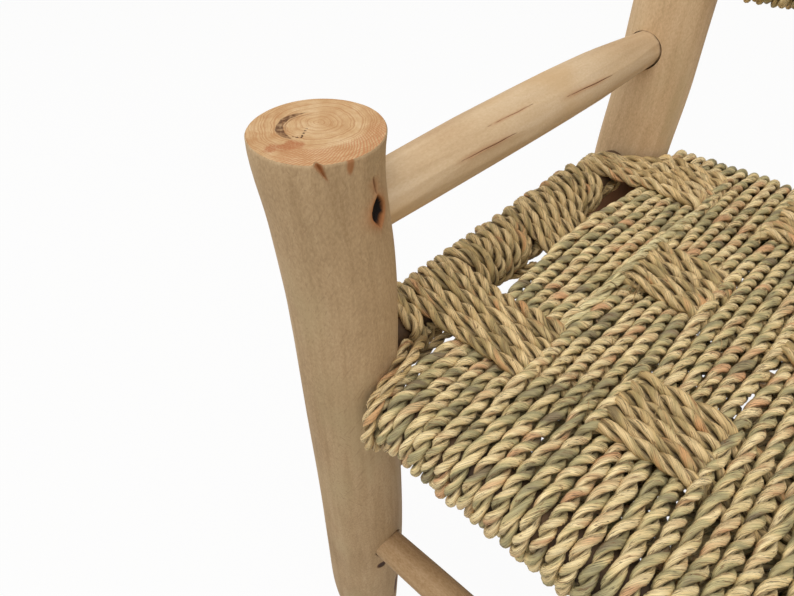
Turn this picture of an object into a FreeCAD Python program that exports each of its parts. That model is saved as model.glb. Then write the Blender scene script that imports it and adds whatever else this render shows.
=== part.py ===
import FreeCAD, Part
import math
import os
from FreeCAD import Placement, Rotation, Vector

# A rustic armchair of peeled poles with a seat and a backrest woven from thick two-ply palm rope.
# Millimetres. +X is to the right of a person who faces the chair, the front faces -Y, +Z is up,
# and the origin is on the floor under the middle of the overall box.

SIZES = (
    ("seat_width", 540, "post axis to post axis, across"),
    ("seat_depth", 436, "post axis to post axis, front to rear"),
    ("seat_height", 460, "floor to the crown of the front rail's rope"),
    ("front_post_rise", 64.5, "armrest's axis to the sawn top of a front post"),
    ("rear_post_rise", 45, "upper backrest rail's axis to the sawn top of a rear post"),
    ("front_post_radius", 38.6, "trunk of a front post"),
    ("rear_post_radius", 38.4, "trunk of a rear post below the backrest"),
    ("rear_post_top_radius", 37, "rear post beside the backrest"),
    ("post_sway", 4, "how far a pole wanders off its straight axis"),
    ("foot_radius", 30, "foot of each post on the floor"),
    ("foot_taper", 130, "height of the knife-cut cone at the foot"),
    ("arm_rise", 115.5, "seat to the axis of an armrest at the front post"),
    ("arm_fall", 6.5, "armrest's drop from the front post to the rear one"),
    ("arm_front_radius", 20.4, "armrest where it enters the front post"),
    ("arm_middle_radius", 22.7, "armrest at its thickest"),
    ("arm_rear_radius", 17.5, "whittled end of the armrest in the rear post"),
    ("arm_bow", 2, "upward bow of the armrest pole"),
    ("stick_set", 22, "depth of an armrest or stretcher end in its post"),
    ("front_stretcher_height", 208, "floor to the front stretcher's axis at the left post"),
    ("front_stretcher_rise", 8, "front stretcher's climb from left to right"),
    ("rear_stretcher_height", 224, "floor to the rear stretcher's axis"),
    ("side_stretcher_height", 270, "floor to a side stretcher's axis"),
    ("front_stretcher_radius", 15.3, "front and rear stretcher poles where they enter the posts"),
    ("front_stretcher_middle_radius", 15.9, "front and rear stretcher poles at their thickest"),
    ("side_stretcher_radius", 14, "side stretcher poles where they enter the posts"),
    ("side_stretcher_middle_radius", 14.8, "side stretcher poles at their thickest"),
    ("stretcher_sway", 3, "how far a stretcher wanders off its straight axis"),
    ("rail_radius", 16, "bare pole inside the rope of each rail"),
    ("rail_shoulder", 40, "post axis to the shoulder of a rail"),
    ("tenon_radius", 10, "round tenon on each rail's end"),
    ("tenon_stop", 12.5, "post axis to the end of a tenon"),
    ("side_rail_lift", 12.4, "side rails lie this much above the front and rear ones"),
    ("rear_bow", 17, "backward bow of the rear poles at mid-width"),
    ("joint_clearance", 0.25, "round each tenon and stick end in its bored hole"),
    ("back_rise", 185, "seat to the axis of the lower backrest rail"),
    ("back_rail_rise", 190, "lower backrest rail to the upper one, axis to axis"),
    ("rope_diameter", 10.6, "laid rope"),
    ("rope_clearance", 0.3, "between neighbouring turns or layers of rope"),
    ("winding_pitch", 11.2, "turn to turn of the rope wound on a side rail"),
    ("seat_side_gap", 45.3, "post axis to the first warp rope of the seat"),
    ("back_side_gap", 60, "post axis to the first warp rope of the backrest"),
    ("group_gap", 8, "between two groups of warp ropes"),
    ("weave_sink", 3, "how far a warp group dips under a weft band or rises over it"),
    ("weave_ramp", 11, "length over which a warp group changes its level"),
    ("seat_band_width", 65, "weft band of the seat, front to rear"),
    ("front_band_set", 98, "front post axis to the middle of the front weft band"),
    ("rear_band_set", 47, "rear post axis to the middle of the rear weft band"),
    ("back_band_width", 45, "weft band of the backrest, bottom to top"),
    ("back_band_spread", 61, "middle to middle of the backrest's two weft bands"),
    ("cut_overrun", 60, "how far each cutting tool runs past what it cuts"),
)

# Shapes of the poles: height as a share of the foot's cone or of the trunk above it, radius as a
# share of the trunk's radius, and the centre's wander as shares of the sway.
FOOT_SHARES = ((0.45, 0.9), (0.8, 0.965))
FRONT_TRUNK_SHARES = (
    (0.0, 0.99, 0.1, 0.2),
    (0.35, 1.005, 0.4, 0.5),
    (0.65, 0.98, 0.3, 0.3),
    (0.85, 0.995, 0.0, -0.2),
    (1.0, 1.03, -0.4, -0.95),
)
REAR_TRUNK_SHARES = ((0.0, 0.99, 0.2, 0.2), (0.2, 1.0, 0.5, 0.3), (0.4, 1.0, 0.2, 0.0))

# Sticks: place along the stick, radius share between its end and middle radius, upward sway
STICK_SHARES = ((0.18, 0.55, 0.6), (0.5, 1.0, 1.0), (0.8, 0.7, 0.5))

# Places that follow from the sizes. The front reach is a front post's top with its lean, and the
# rear reach is the rope round a rear post.
TOP_RADIUS_SHARE = FRONT_TRUNK_SHARES[-1][1]
TOP_LEAN_SHARE = -FRONT_TRUNK_SHARES[-1][3]
PLACES = (
    ("side_x", "sizes.seat_width / 2"),
    ("front_reach", f"{TOP_RADIUS_SHARE} * sizes.front_post_radius + {TOP_LEAN_SHARE} * sizes.post_sway"),
    ("rear_reach", "sizes.rear_post_top_radius + sizes.rope_clearance + sizes.rope_diameter"),
    ("front_y", "(places.front_reach - places.rear_reach - sizes.seat_depth) / 2"),
    ("rear_y", "places.front_y + sizes.seat_depth"),
    ("rope_reach", "sizes.rail_radius + sizes.rope_clearance + sizes.rope_diameter"),
    ("rail_height", "sizes.seat_height - places.rope_reach"),
    ("side_rail_height", "places.rail_height + sizes.side_rail_lift"),
    ("arm_front_height", "sizes.seat_height + sizes.arm_rise"),
    ("arm_rear_height", "places.arm_front_height - sizes.arm_fall"),
    ("front_post_height", "places.arm_front_height + sizes.front_post_rise"),
    ("back_rail_height", "sizes.seat_height + sizes.back_rise"),
    ("back_top_rail_height", "places.back_rail_height + sizes.back_rail_rise"),
    ("rear_post_height", "places.back_top_rail_height + sizes.rear_post_rise"),
    ("bow_radius", "(places.side_x^2 + sizes.rear_bow^2) / (2 * sizes.rear_bow)"),
    ("bow_centre_y", "places.rear_y + sizes.rear_bow - places.bow_radius"),
)

# Warp groups across the seat and across the backrest
GROUPS = 7

# The three rails that follow the rear bow, and their levels
BOWED_RAILS = (
    ("seat_rail", "places.rail_height"),
    ("lower_rail", "places.back_rail_height"),
    ("upper_rail", "places.back_top_rail_height"),
)

doc = FreeCAD.newDocument("armchair")


def add_sheet(name, rows):
    """A sheet with one named value a row: numbers as text, or formulas that start with ="""
    table = doc.addObject("Spreadsheet::Sheet", name)
    for number, row in enumerate(rows, 1):
        table.set(f"A{number}", row[0])
        table.set(f"B{number}", str(row[1]))
        table.setAlias(f"B{number}", row[0])
        if len(row) > 2:
            table.set(f"C{number}", row[2])
    doc.recompute()
    return table


sizes = add_sheet("sizes", SIZES)
places = add_sheet("places", [(name, "=" + rule.replace("places.", "")) for name, rule in PLACES])


def mm(name):
    """A named size or place as a plain number."""
    sheet = places if name in dict(PLACES) else sizes
    return float(sheet.get(name))


def bind(thing, **rules):
    """Binds properties to sheet formulas: x, y and z stand for the placement's base."""
    for prop, rule in rules.items():
        target = f"Placement.Base.{prop}" if prop in ("x", "y", "z") else prop
        thing.setExpression(target, str(rule))
    return thing


TURNS = {
    "z": Rotation(),
    "y": Rotation(Vector(1, 0, 0), -90),
    "x": Rotation(Vector(0, 1, 0), 90),
}


def rod(name, way, radius, length, x, y, z):
    """A round rod that starts at a point and runs along +X, +Y or +Z."""
    thing = doc.addObject("Part::Cylinder", name)
    thing.Placement = Placement(Vector(), TURNS[way])
    return bind(thing, Radius=radius, Height=length, x=x, y=y, z=z)


def bowed_rod(name, radius, half_span, z):
    """A round rod along the rear poles' bow, as far as half_span each side of the middle."""
    thing = doc.addObject("Part::Torus", name)
    thing.Placement = Placement(Vector(), Rotation(Vector(0, 0, 1), 90))
    bind(thing, Radius1="places.bow_radius", Radius2=radius, x=0, y="places.bow_centre_y", z=z)
    half_angle = f"asin(({half_span}) / places.bow_radius)"
    thing.setExpression("Angle3", f"2 * {half_angle}")
    thing.setExpression("Placement.Rotation.Angle", f"90 deg - {half_angle}")
    return thing


def loft(name, way, rings):
    """A natural pole through round sections, each (radius, x, y, z)."""
    sections = []
    for number, (radius, x, y, z) in enumerate(rings, 1):
        ring = doc.addObject("Part::Circle", f"{name}_ring_{number}")
        ring.Placement = Placement(Vector(), TURNS[way])
        sections.append(bind(ring, Radius=radius, x=x, y=y, z=z))
    thing = doc.addObject("Part::Loft", name)
    thing.Sections = sections
    thing.Solid = True
    return thing


def fuse(name, shapes):
    thing = doc.addObject("Part::MultiFuse", name)
    thing.Shapes = shapes
    return thing


def cut(name, base, tools):
    thing = doc.addObject("Part::Cut", name)
    thing.Base = base
    thing.Tool = fuse(name + "_bores", tools)
    return thing


subparts = []


def keep(thing, label):
    thing.Label = label
    subparts.append(thing)
    return thing


def keep_shape(label, shape, place=Placement()):
    """A woven piece, whose outline follows a rule that no single feature has."""
    thing = doc.addObject("Part::Feature", label)
    thing.Shape = shape
    thing.Placement = place
    return keep(thing, label)


# Bored holes: each takes the radius of what goes in, with the clearance round it
HOLE = " + sizes.joint_clearance"
TENON_HOLE = "sizes.tenon_radius" + HOLE
STOP = "sizes.tenon_stop - sizes.joint_clearance"


def hole_along_y(name, radius, stop, x, y, z, inward):
    """A blind hole towards the chair's middle, from stop off the post's axis outwards."""
    start = f"{y} + {stop}" if inward > 0 else f"{y} - ({stop}) - sizes.cut_overrun"
    return rod(name, "y", radius + HOLE, "sizes.cut_overrun", x, start, z)


def hole_along_x(name, radius, stop, x, y, z, inward):
    start = f"{x} + {stop}" if inward > 0 else f"{x} - ({stop}) - sizes.cut_overrun"
    return rod(name, "x", radius + HOLE, "sizes.cut_overrun", start, y, z)


def stick_stop(post_radius):
    return f"{post_radius} - sizes.stick_set - sizes.joint_clearance"


# The four posts: a coned foot, a trunk that wanders a little, and blind holes for all that it holds


def post(side, end):
    name = f"post_{end}_{side}"
    hand = -1 if side == "left" else 1
    x = f"{hand} * places.side_x"
    y = "places.front_y" if end == "front" else "places.rear_y"
    tall = f"places.{end}_post_height"
    radius = f"sizes.{end}_post_radius"
    trunk = f"({tall} - sizes.foot_taper)"
    rings = [("sizes.foot_radius", x, y, 0)]
    for up, wide in FOOT_SHARES:
        rings.append((f"{radius} * {wide}", x, y, f"sizes.foot_taper * {up}"))
    for up, wide, wander_x, wander_y in FRONT_TRUNK_SHARES if end == "front" else REAR_TRUNK_SHARES:
        rings.append(
            (
                f"{radius} * {wide}",
                f"{x} - {hand * wander_x} * sizes.post_sway",
                f"{y} + {wander_y} * sizes.post_sway",
                f"sizes.foot_taper + {trunk} * {up}",
            )
        )
    if end == "rear":
        # Beside the backrest the pole is straight and even, from under its lower rail to the top
        for level in ("places.back_rail_height - places.rope_reach", "places.back_top_rail_height", tall):
            rings.append(("sizes.rear_post_top_radius", x, y, level))
    trunk_shape = loft(name + "_pole", "z", rings)
    into_y = 1 if end == "front" else -1
    side_tenon = ("sizes.tenon_radius", "(" + STOP + ")", x, y, "places.side_rail_height", into_y)
    stop = stick_stop(radius)
    side_stick = ("sizes.side_stretcher_radius", stop, x, y, "sizes.side_stretcher_height", into_y)
    arm = (f"sizes.arm_{end}_radius", stop, x, y, f"places.arm_{end}_height", into_y)
    bores = [
        hole_along_y(name + "_side_tenon_bore", *side_tenon),
        hole_along_y(name + "_side_stretcher_bore", *side_stick),
        hole_along_y(name + "_arm_bore", *arm),
    ]
    level = f"sizes.{end}_stretcher_height"
    if end == "front" and side == "right":
        level += " + sizes.front_stretcher_rise"
    cross_stick = ("sizes.front_stretcher_radius", stop, x, y, level, -hand)
    bores.append(hole_along_x(name + "_stretcher_bore", *cross_stick))
    if end == "front":
        front_tenon = ("sizes.tenon_radius", "(" + STOP + ")", x, y, "places.rail_height", -hand)
        bores.append(hole_along_x(name + "_rail_bore", *front_tenon))
    else:
        for word, level in BOWED_RAILS:
            span = f"places.side_x - ({STOP})"
            bores.append(bowed_rod(f"{name}_{word}_bore", TENON_HOLE, span, level))
    return keep(cut(name, trunk_shape, bores), name)


for end in ("front", "rear"):
    for side in ("left", "right"):
        post(side, end)

# The rails: a round pole with a tenon turned on each end, hidden in rope

RAIL_PARTS = (
    ("pole", "sizes.rail_radius", "sizes.rail_shoulder"),
    ("tenons", "sizes.tenon_radius", "sizes.tenon_stop"),
)


def side_rail(side):
    name = f"seat_rail_{side}"
    x = "places.side_x" if side == "right" else "-places.side_x"
    parts = []
    for word, radius, stop in RAIL_PARTS:
        length = f"sizes.seat_depth - 2 * {stop}"
        start = f"places.front_y + {stop}"
        parts.append(rod(f"{name}_{word}", "y", radius, length, x, start, "places.side_rail_height"))
    keep(fuse(name, parts), name)


def front_rail():
    name = "seat_rail_front"
    parts = []
    for word, radius, stop in RAIL_PARTS:
        length = f"sizes.seat_width - 2 * {stop}"
        spot = (f"{stop} - places.side_x", "places.front_y", "places.rail_height")
        parts.append(rod(f"{name}_{word}", "x", radius, length, *spot))
    keep(fuse(name, parts), name)


def bowed_rail(name, level):
    pole = bowed_rod(name + "_pole", "sizes.rail_radius", "places.side_x - sizes.rail_shoulder", level)
    tenons = bowed_rod(name + "_tenons", "sizes.tenon_radius", "places.side_x - sizes.tenon_stop", level)
    keep(fuse(name, [pole, tenons]), name)


front_rail()
side_rail("left")
side_rail("right")
for name, (word, level) in zip(("seat_rail_rear", "back_rail_lower", "back_rail_upper"), BOWED_RAILS):
    bowed_rail(name, level)

# Armrests and stretchers: natural sticks whose full ends are driven into blind holes


def stick(name, way, ends, middle_radius, sway):
    """ends are (radius, x, y, z, post radius) at the start and the finish, on the posts' axes."""
    (radius_a, xa, ya, za, post_a), (radius_b, xb, yb, zb, post_b) = ends
    mouth_a = f"{post_a} + sizes.joint_clearance"
    mouth_b = f"{post_b} + sizes.joint_clearance"
    set_a = f"{post_a} - sizes.stick_set"
    set_b = f"{post_b} - sizes.stick_set"
    start, finish = (xa, xb) if way == "x" else (ya, yb)

    def spot(along, across, z):
        return (along, across, z) if way == "x" else (across, along, z)

    across = ya if way == "x" else xa
    first = f"({start} + {mouth_a})"
    last = f"({finish} - ({mouth_b}))"
    rings = [(radius_a, *spot(first, across, za))]
    for share, fat, up in STICK_SHARES:
        end_radius = radius_a if share <= 0.5 else radius_b
        wide = f"{end_radius} + ({middle_radius} - {end_radius}) * {fat}"
        level = f"{za} + ({zb} - ({za})) * {share} + {up} * {sway}"
        rings.append((wide, *spot(f"{first} + ({last} - {first}) * {share}", across, level)))
    rings.append((radius_b, *spot(last, across, zb)))
    stub_a = rod(
        name + "_start",
        way,
        radius_a,
        "sizes.stick_set + sizes.joint_clearance",
        *spot(f"{start} + {set_a}", across, za),
    )
    stub_b = rod(
        name + "_finish",
        way,
        radius_b,
        "sizes.stick_set + sizes.joint_clearance",
        *spot(f"{finish} - ({mouth_b})", across, zb),
    )
    keep(fuse(name, [loft(name + "_pole", way, rings), stub_a, stub_b]), name)


def side_stick(name, x, radius, level, middle_radius, sway):
    """A stick from a front post to the rear post behind it; {end} in a rule is front or rear."""
    ends = []
    for end in ("front", "rear"):
        rules = (radius, x, "places.{end}_y", level, "sizes.{end}_post_radius")
        ends.append([rule.format(end=end) for rule in rules])
    stick(name, "y", ends, middle_radius, sway)


for side, x in (("left", "-places.side_x"), ("right", "places.side_x")):
    arm = ("sizes.arm_{end}_radius", "places.arm_{end}_height", "sizes.arm_middle_radius", "sizes.arm_bow")
    side_stick(f"arm_{side}", x, *arm)
    pole = [f"sizes.side_stretcher_{word}" for word in ("radius", "height", "middle_radius")]
    side_stick(f"stretcher_{side}", x, *pole, "sizes.stretcher_sway")

for end, rise in (("front", " + sizes.front_stretcher_rise"), ("rear", "")):
    radius = "sizes.front_stretcher_radius"
    level = f"sizes.{end}_stretcher_height"
    y = f"places.{end}_y"
    left_end = (radius, "-places.side_x", y, level, f"sizes.{end}_post_radius")
    right_end = (radius, "places.side_x", y, level + rise, f"sizes.{end}_post_radius")
    middle_radius = "sizes.front_stretcher_middle_radius"
    stick(f"stretcher_{end}", "x", (left_end, right_end), middle_radius, "sizes.stretcher_sway")

# The rope work. Warp ropes run front to rear in groups, over and under both rails, so the seat
# has a top layer and an under layer. Weft bands cross the top layer, over one group and under the
# next. The backrest is woven alike on its two rails, and its weft goes round the rear posts.

doc.recompute()

rope = mm("rope_diameter")
clear = mm("rope_clearance")
core = mm("rail_radius")
gap = mm("group_gap")
sink = mm("weave_sink")
ramp = mm("weave_ramp")
side_x = mm("side_x")
front_y = mm("front_y")
rear_y = mm("rear_y")
rail_z = mm("rail_height")
side_rail_z = mm("side_rail_height")
bow_radius = mm("bow_radius")
layer = core + clear + rope / 2  # rail axis to the middle of the rope on it


def group_edges(side_gap):
    """Left and right edge of every warp group, from side to side."""
    pitch = (2 * side_x - 2 * side_gap) / GROUPS
    first = side_gap - side_x
    return [(first + pitch * k + gap / 2, first + pitch * (k + 1) - gap / 2) for k in range(GROUPS)]


def bowed(x, offset):
    """The point that lies offset behind the bowed pole's axis, square to the bow."""
    turn = math.asin(x / bow_radius)
    reach = bow_radius + offset
    return Vector(reach * math.sin(turn), mm("bow_centre_y") + reach * math.cos(turn), 0)


def bow_turn(x):
    return Rotation(Vector(0, 0, 1), -math.degrees(math.asin(x / bow_radius)))


def weft_is_over(group, band):
    return (group + band) % 2 == 0


def slab(outline, push):
    """A solid from a closed outline of points, pushed along a vector."""
    return Part.Face(Part.makePolygon(outline + outline[:1])).extrude(push)


def warp_levels(start, finish, bands, group, half_band):
    """(place, level) points of a warp group's middle line, with level 0 on the rails."""
    points = [(start, 0)]
    for band, middle in enumerate(bands):
        level = -sink if weft_is_over(group, band) else sink
        points.append((middle - half_band - ramp, 0))
        points.append((middle - half_band, level))
        points.append((middle + half_band, level))
        points.append((middle + half_band + ramp, 0))
    points.append((finish, 0))
    return points


def weft_levels(edges, band):
    """Top and bottom line of a weft band as (x, level), level 0 at the warp's own middle."""
    over = rope + clear - sink
    top = []
    bottom = []
    for group, (left, right) in enumerate(edges):
        is_over = weft_is_over(group, band)
        level = over if is_over else -over
        # The line away from the group runs on over the gaps beside it, and the near line does not
        near = (left - clear, right + clear)
        far_left = left - clear if group == 0 else left - gap + clear
        far_right = right + clear if group == GROUPS - 1 else right + gap - clear
        far = (far_left, far_right)
        top += [(x, level + rope / 2) for x in (far if is_over else near)]
        bottom += [(x, level - rope / 2) for x in (near if is_over else far)]
    return top, bottom


seat_edges = group_edges(mm("seat_side_gap"))
back_edges = group_edges(mm("back_side_gap"))
seat_half_band = mm("seat_band_width") / 2
band_front = front_y + mm("front_band_set")
band_rear = rear_y - mm("rear_band_set")
seat_bands = [band_front, (band_front + band_rear) / 2, band_rear]
warp_z = rail_z + layer


def half_tube(width, low_side):
    """Rope half round a rail along X: on its front, rear, lower or upper side."""
    along = Vector(1, 0, 0)
    start = Vector(-width / 2, 0, 0)
    tube = Part.makeCylinder(core + clear + rope, width, start, along)
    tube = tube.cut(Part.makeCylinder(core + clear, width, start, along))
    reach = core + clear + rope + mm("cut_overrun")
    box = Part.makeBox(width + 2 * reach, 2 * reach, 2 * reach, Vector(-width / 2 - reach, 0, -reach))
    box.rotate(Vector(), along, low_side)
    return tube.cut(box)


FRONT, REAR, LOWER, UPPER = 0, 180, 90, -90


def seat_warp(group, left, right):
    """A group's top layer and under layer, cut square to the bowed rear rail."""
    middle = (left + right) / 2
    end = bowed(middle, 0)
    past = end.y + mm("cut_overrun")
    width = Vector(right - left, 0, 0)
    line = warp_levels(front_y, past, seat_bands, group, seat_half_band)
    upper = [Vector(left, y, warp_z + level + rope / 2) for y, level in line]
    lower = [Vector(left, y, warp_z + level - rope / 2) for y, level in reversed(line)]
    top = slab(upper + lower, width)
    under_z = rail_z - layer
    under = Part.makeBox(right - left, past - front_y, rope, Vector(left, front_y, under_z - rope / 2))
    reach = mm("seat_depth")
    beyond = Part.makeBox(2 * reach, reach, 2 * reach, Vector(-reach, 0, -reach))
    beyond.Placement = Placement(end + Vector(0, 0, rail_z), bow_turn(middle))
    keep_shape(f"seat_warp_top_{group + 1}", top.cut(beyond))
    keep_shape(f"seat_warp_under_{group + 1}", under.cut(beyond))


def seat_warp_turns():
    """The ropes' half turns round the front rail and round the bowed rear rail."""
    fronts = []
    rears = []
    for left, right in seat_edges:
        middle = (left + right) / 2
        turn = half_tube(right - left, FRONT)
        turn.translate(Vector(middle, front_y, rail_z))
        fronts.append(turn)
        turn = half_tube(right - left, REAR)
        turn.Placement = Placement(bowed(middle, 0) + Vector(0, 0, rail_z), bow_turn(middle))
        rears.append(turn)
    keep_shape("seat_warp_turns_front", Part.makeCompound(fronts))
    keep_shape("seat_warp_turns_rear", Part.makeCompound(rears))


def post_space(y):
    """The room that two posts take, with the rope's clearance, for cutting rope pieces back."""
    radius = max(mm("front_post_radius"), mm("rear_post_radius")) + mm("post_sway") + clear
    tall = mm("rear_post_height")
    return [Part.makeCylinder(radius, tall, Vector(x, y, 0)) for x in (-side_x, side_x)]


def seat_weft(word, band):
    """A band across the seat, from one side rail's crown to the other."""
    middle = seat_bands[band]
    top, bottom = weft_levels(seat_edges, band)
    crown = side_rail_z + core + clear - warp_z
    top = [(-side_x, crown + rope)] + top + [(side_x, crown + rope)]
    bottom = [(-side_x, crown)] + bottom + [(side_x, crown)]
    start = middle - seat_half_band
    upper = [Vector(x, start, warp_z + level) for x, level in top]
    lower = [Vector(x, start, warp_z + level) for x, level in reversed(bottom)]
    band_shape = slab(upper + lower, Vector(0, 2 * seat_half_band, 0))
    rails = [
        Part.makeCylinder(core + clear, mm("seat_depth"), Vector(x, front_y, side_rail_z), Vector(0, 1, 0))
        for x in (-side_x, side_x)
    ]
    keep_shape(f"seat_weft_{word}", band_shape.cut(rails + post_space(rear_y)))


def three_quarter_tube(inner, length, hand):
    """Rope round a pole along Z: open over the quarter that faces inwards and forwards."""
    tube = Part.makeCylinder(inner + rope, length)
    tube = tube.cut(Part.makeCylinder(inner, length))
    reach = inner + rope + mm("cut_overrun")
    box = Part.makeBox(reach, reach, length + 2 * reach, Vector(0, -reach, -reach))
    if hand > 0:
        box.translate(Vector(-reach, 0, 0))
    return tube.cut(box)


def seat_band_ends(band):
    """Front and rear end of a weft band where it lies on a side rail, clear of the posts."""
    low = seat_bands[band] - seat_half_band
    high = seat_bands[band] + seat_half_band
    return low, min(high, rear_y - mm("rear_post_radius") - mm("post_sway") - clear)


def seat_weft_turns(side, hand):
    """Each band's ropes go on round the side rail, down its outside and up its inside."""
    turns = []
    for band in range(len(seat_bands)):
        low, high = seat_band_ends(band)
        turn = three_quarter_tube(core + clear, high - low, hand)
        # The pole along Z becomes the rail along Y, with the open quarter upwards and inwards
        turn.Placement = Placement(Vector(hand * side_x, low, side_rail_z), TURNS["y"])
        turns.append(turn)
    keep_shape(f"seat_weft_turns_{side}", Part.makeCompound(turns))


def helix_point(angle, advance):
    """A point on a winding's middle line and the direction there, round the Y axis from below."""
    spread = layer
    climb = mm("winding_pitch") / (2 * math.pi)
    point = Vector(-spread * math.sin(angle), climb * angle + advance, -spread * math.cos(angle))
    way = Vector(-spread * math.cos(angle), climb, spread * math.sin(angle))
    return point, way.normalize()


def arc_from(start, way, finish):
    """The arc that leaves start along way and ends at finish."""
    chord = finish - start
    along = Vector(chord).normalize()
    side = way - along * way.dot(along)
    half_angle = math.acos(max(-1, min(1, way.dot(along)))) / 2
    rise = side.normalize() * (chord.Length / 2 * math.tan(half_angle))
    return Part.Arc(start, (start + finish) / 2 + rise, finish)


def biarc(start, way, finish, way_there):
    """Two arcs from start to finish that share their direction where they meet."""
    chord = finish - start
    both = way + way_there
    product = chord.dot(both)
    apart = 2 * (1 - way.dot(way_there))
    handle = (math.sqrt(product * product + apart * chord.dot(chord)) - product) / apart
    meeting = (start + way * handle + finish - way_there * handle) / 2
    first = arc_from(start, way, meeting)
    second = arc_from(finish, way_there * -1, meeting)
    return [first.toShape(), second.toShape()]


def winding(length, hand):
    """One unbroken rope wound on a side rail over this length, both ends straight and inwards."""
    pitch = mm("winding_pitch")
    # A straight end is one rope diameter long and goes on along the winding as it did in its turn
    drift = rope * pitch / (2 * math.pi * layer)
    half_turns = max(1, math.floor(2 * (length - rope - 2 * drift) / pitch))
    half_turns -= (half_turns + 1) % 2
    slack = (length - rope - half_turns * pitch / 2) / 2
    steps = [helix_point(math.pi * k, rope / 2 + slack) for k in range(half_turns + 1)]
    start, way = steps[0]
    edges = [Part.makeLine(start - way * rope, start)]
    for (here, way), (there, way_there) in zip(steps, steps[1:]):
        edges += biarc(here, way, there, way_there)
    there, way = steps[-1]
    edges.append(Part.makeLine(there, there + way * rope))
    path = Part.Wire(edges)
    mouth = Part.Wire(Part.Circle(start - steps[0][1] * rope, steps[0][1], rope / 2).toShape())
    tube = path.makePipeShell([mouth], True, False)
    if hand > 0:
        tube = tube.mirror(Vector(), Vector(1, 0, 0))
    spare = pitch * math.cos(math.atan(pitch / (2 * math.pi * layer))) - rope
    expected = math.pi * (rope / 2) ** 2 * path.Length
    return tube, half_turns / 2, spare, tube.Volume / expected


def seat_windings(side, hand):
    """Rope wound round a side rail between post and band and between the bands."""
    windings = []
    starts = [front_y + mm("rail_shoulder") + clear]
    finishes = []
    for band in range(len(seat_bands)):
        low, high = seat_band_ends(band)
        finishes.append(low - clear)
        starts.append(high + clear)
    for start, finish in zip(starts, finishes):
        tube, turns, spare, fill = winding(finish - start, hand)
        tube.translate(Vector(hand * side_x, start, side_rail_z))
        windings.append(tube)
        print(f"winding {side}: {turns} turns, least gap {spare:.2f} mm, volume ratio {fill:.3f}")
    keep_shape(f"seat_windings_{side}", Part.makeCompound(windings))


low_z = mm("back_rail_height")
high_z = mm("back_top_rail_height")
back_half_band = mm("back_band_width") / 2
back_middle = (low_z + high_z) / 2
back_bands = [back_middle - mm("back_band_spread") / 2, back_middle + mm("back_band_spread") / 2]


def back_warp(group, left, right):
    """A group's front layer and rear layer between the two backrest rails."""
    middle = (left + right) / 2
    width = right - left
    line = warp_levels(low_z, high_z, back_bands, group, back_half_band)
    ahead = [Vector(-width / 2, -layer - level - rope / 2, z) for z, level in line]
    behind = [Vector(-width / 2, -layer - level + rope / 2, z) for z, level in reversed(line)]
    front = slab(ahead + behind, Vector(width, 0, 0))
    rear = Part.makeBox(width, rope, high_z - low_z, Vector(-width / 2, layer - rope / 2, low_z))
    place = Placement(bowed(middle, 0), bow_turn(middle))
    keep_shape(f"back_warp_front_{group + 1}", front, place)
    keep_shape(f"back_warp_rear_{group + 1}", rear, place)


def back_warp_turns(word, level, facing):
    turns = []
    for left, right in back_edges:
        middle = (left + right) / 2
        turn = half_tube(right - left, facing)
        turn.Placement = Placement(bowed(middle, 0) + Vector(0, 0, level), bow_turn(middle))
        turns.append(turn)
    keep_shape(f"back_warp_turns_{word}", Part.makeCompound(turns))


def back_spot(x, offset):
    """A point in the frame of the nearest warp group, which lies flat across the bow."""
    left, right = min(back_edges, key=lambda edges: max(edges[0] - x, x - edges[1]))
    middle = (left + right) / 2
    return bowed(middle, 0) + bow_turn(middle).multVec(Vector(x - middle, offset, 0))


def back_weft(word, band):
    """A band across the backrest, in front of one group and behind the next."""
    low = back_bands[band] - back_half_band
    front, behind = weft_levels(back_edges, band)
    post_face = rear_y - mm("rear_post_top_radius") - clear
    left_front = Vector(-side_x, post_face - rope, 0)
    left_behind = Vector(-side_x, post_face, 0)
    outline = [left_front] + [back_spot(x, -layer - level) for x, level in front]
    outline += [Vector(side_x, left_front.y, 0), Vector(side_x, left_behind.y, 0)]
    outline += [back_spot(x, -layer - level) for x, level in reversed(behind)] + [left_behind]
    band_shape = slab([point + Vector(0, 0, low) for point in outline], Vector(0, 0, 2 * back_half_band))
    posts = [
        Part.makeCylinder(mm("rear_post_top_radius") + clear, mm("rear_post_height"), Vector(x, rear_y, 0))
        for x in (-side_x, side_x)
    ]
    keep_shape(f"back_weft_{word}", band_shape.cut(posts))


def back_weft_turns(side, hand):
    turns = []
    for middle in back_bands:
        turn = three_quarter_tube(mm("rear_post_top_radius") + clear, 2 * back_half_band, hand)
        turn.translate(Vector(hand * side_x, rear_y, middle - back_half_band))
        turns.append(turn)
    keep_shape(f"back_weft_turns_{side}", Part.makeCompound(turns))


for group, (left, right) in enumerate(seat_edges):
    seat_warp(group, left, right)
seat_warp_turns()
for band, word in enumerate(("front", "middle", "rear")):
    seat_weft(word, band)
for side, hand in (("left", -1), ("right", 1)):
    seat_weft_turns(side, hand)
    seat_windings(side, hand)
for group, (left, right) in enumerate(back_edges):
    back_warp(group, left, right)
back_warp_turns("lower", low_z, LOWER)
back_warp_turns("upper", high_z, UPPER)
for band, word in enumerate(("lower", "upper")):
    back_weft(word, band)
for side, hand in (("left", -1), ("right", 1)):
    back_weft_turns(side, hand)

# Every object must have built, and every sub-part must be sound, before anything is written
doc.recompute()
for thing in doc.Objects:
    if "Invalid" in thing.State or "Error" in thing.State:
        raise RuntimeError(f"{thing.Name} did not build: {thing.State}")
for thing in subparts:
    if thing.Shape.isNull() or not thing.Shape.isValid() or not thing.Shape.Solids:
        raise RuntimeError(f"{thing.Label} is not a sound solid")

os.makedirs("parts", exist_ok=True)
for thing in subparts:
    thing.Shape.exportStep(f"parts/{thing.Label}.step")
print(len(subparts), "sub-parts written")
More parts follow.
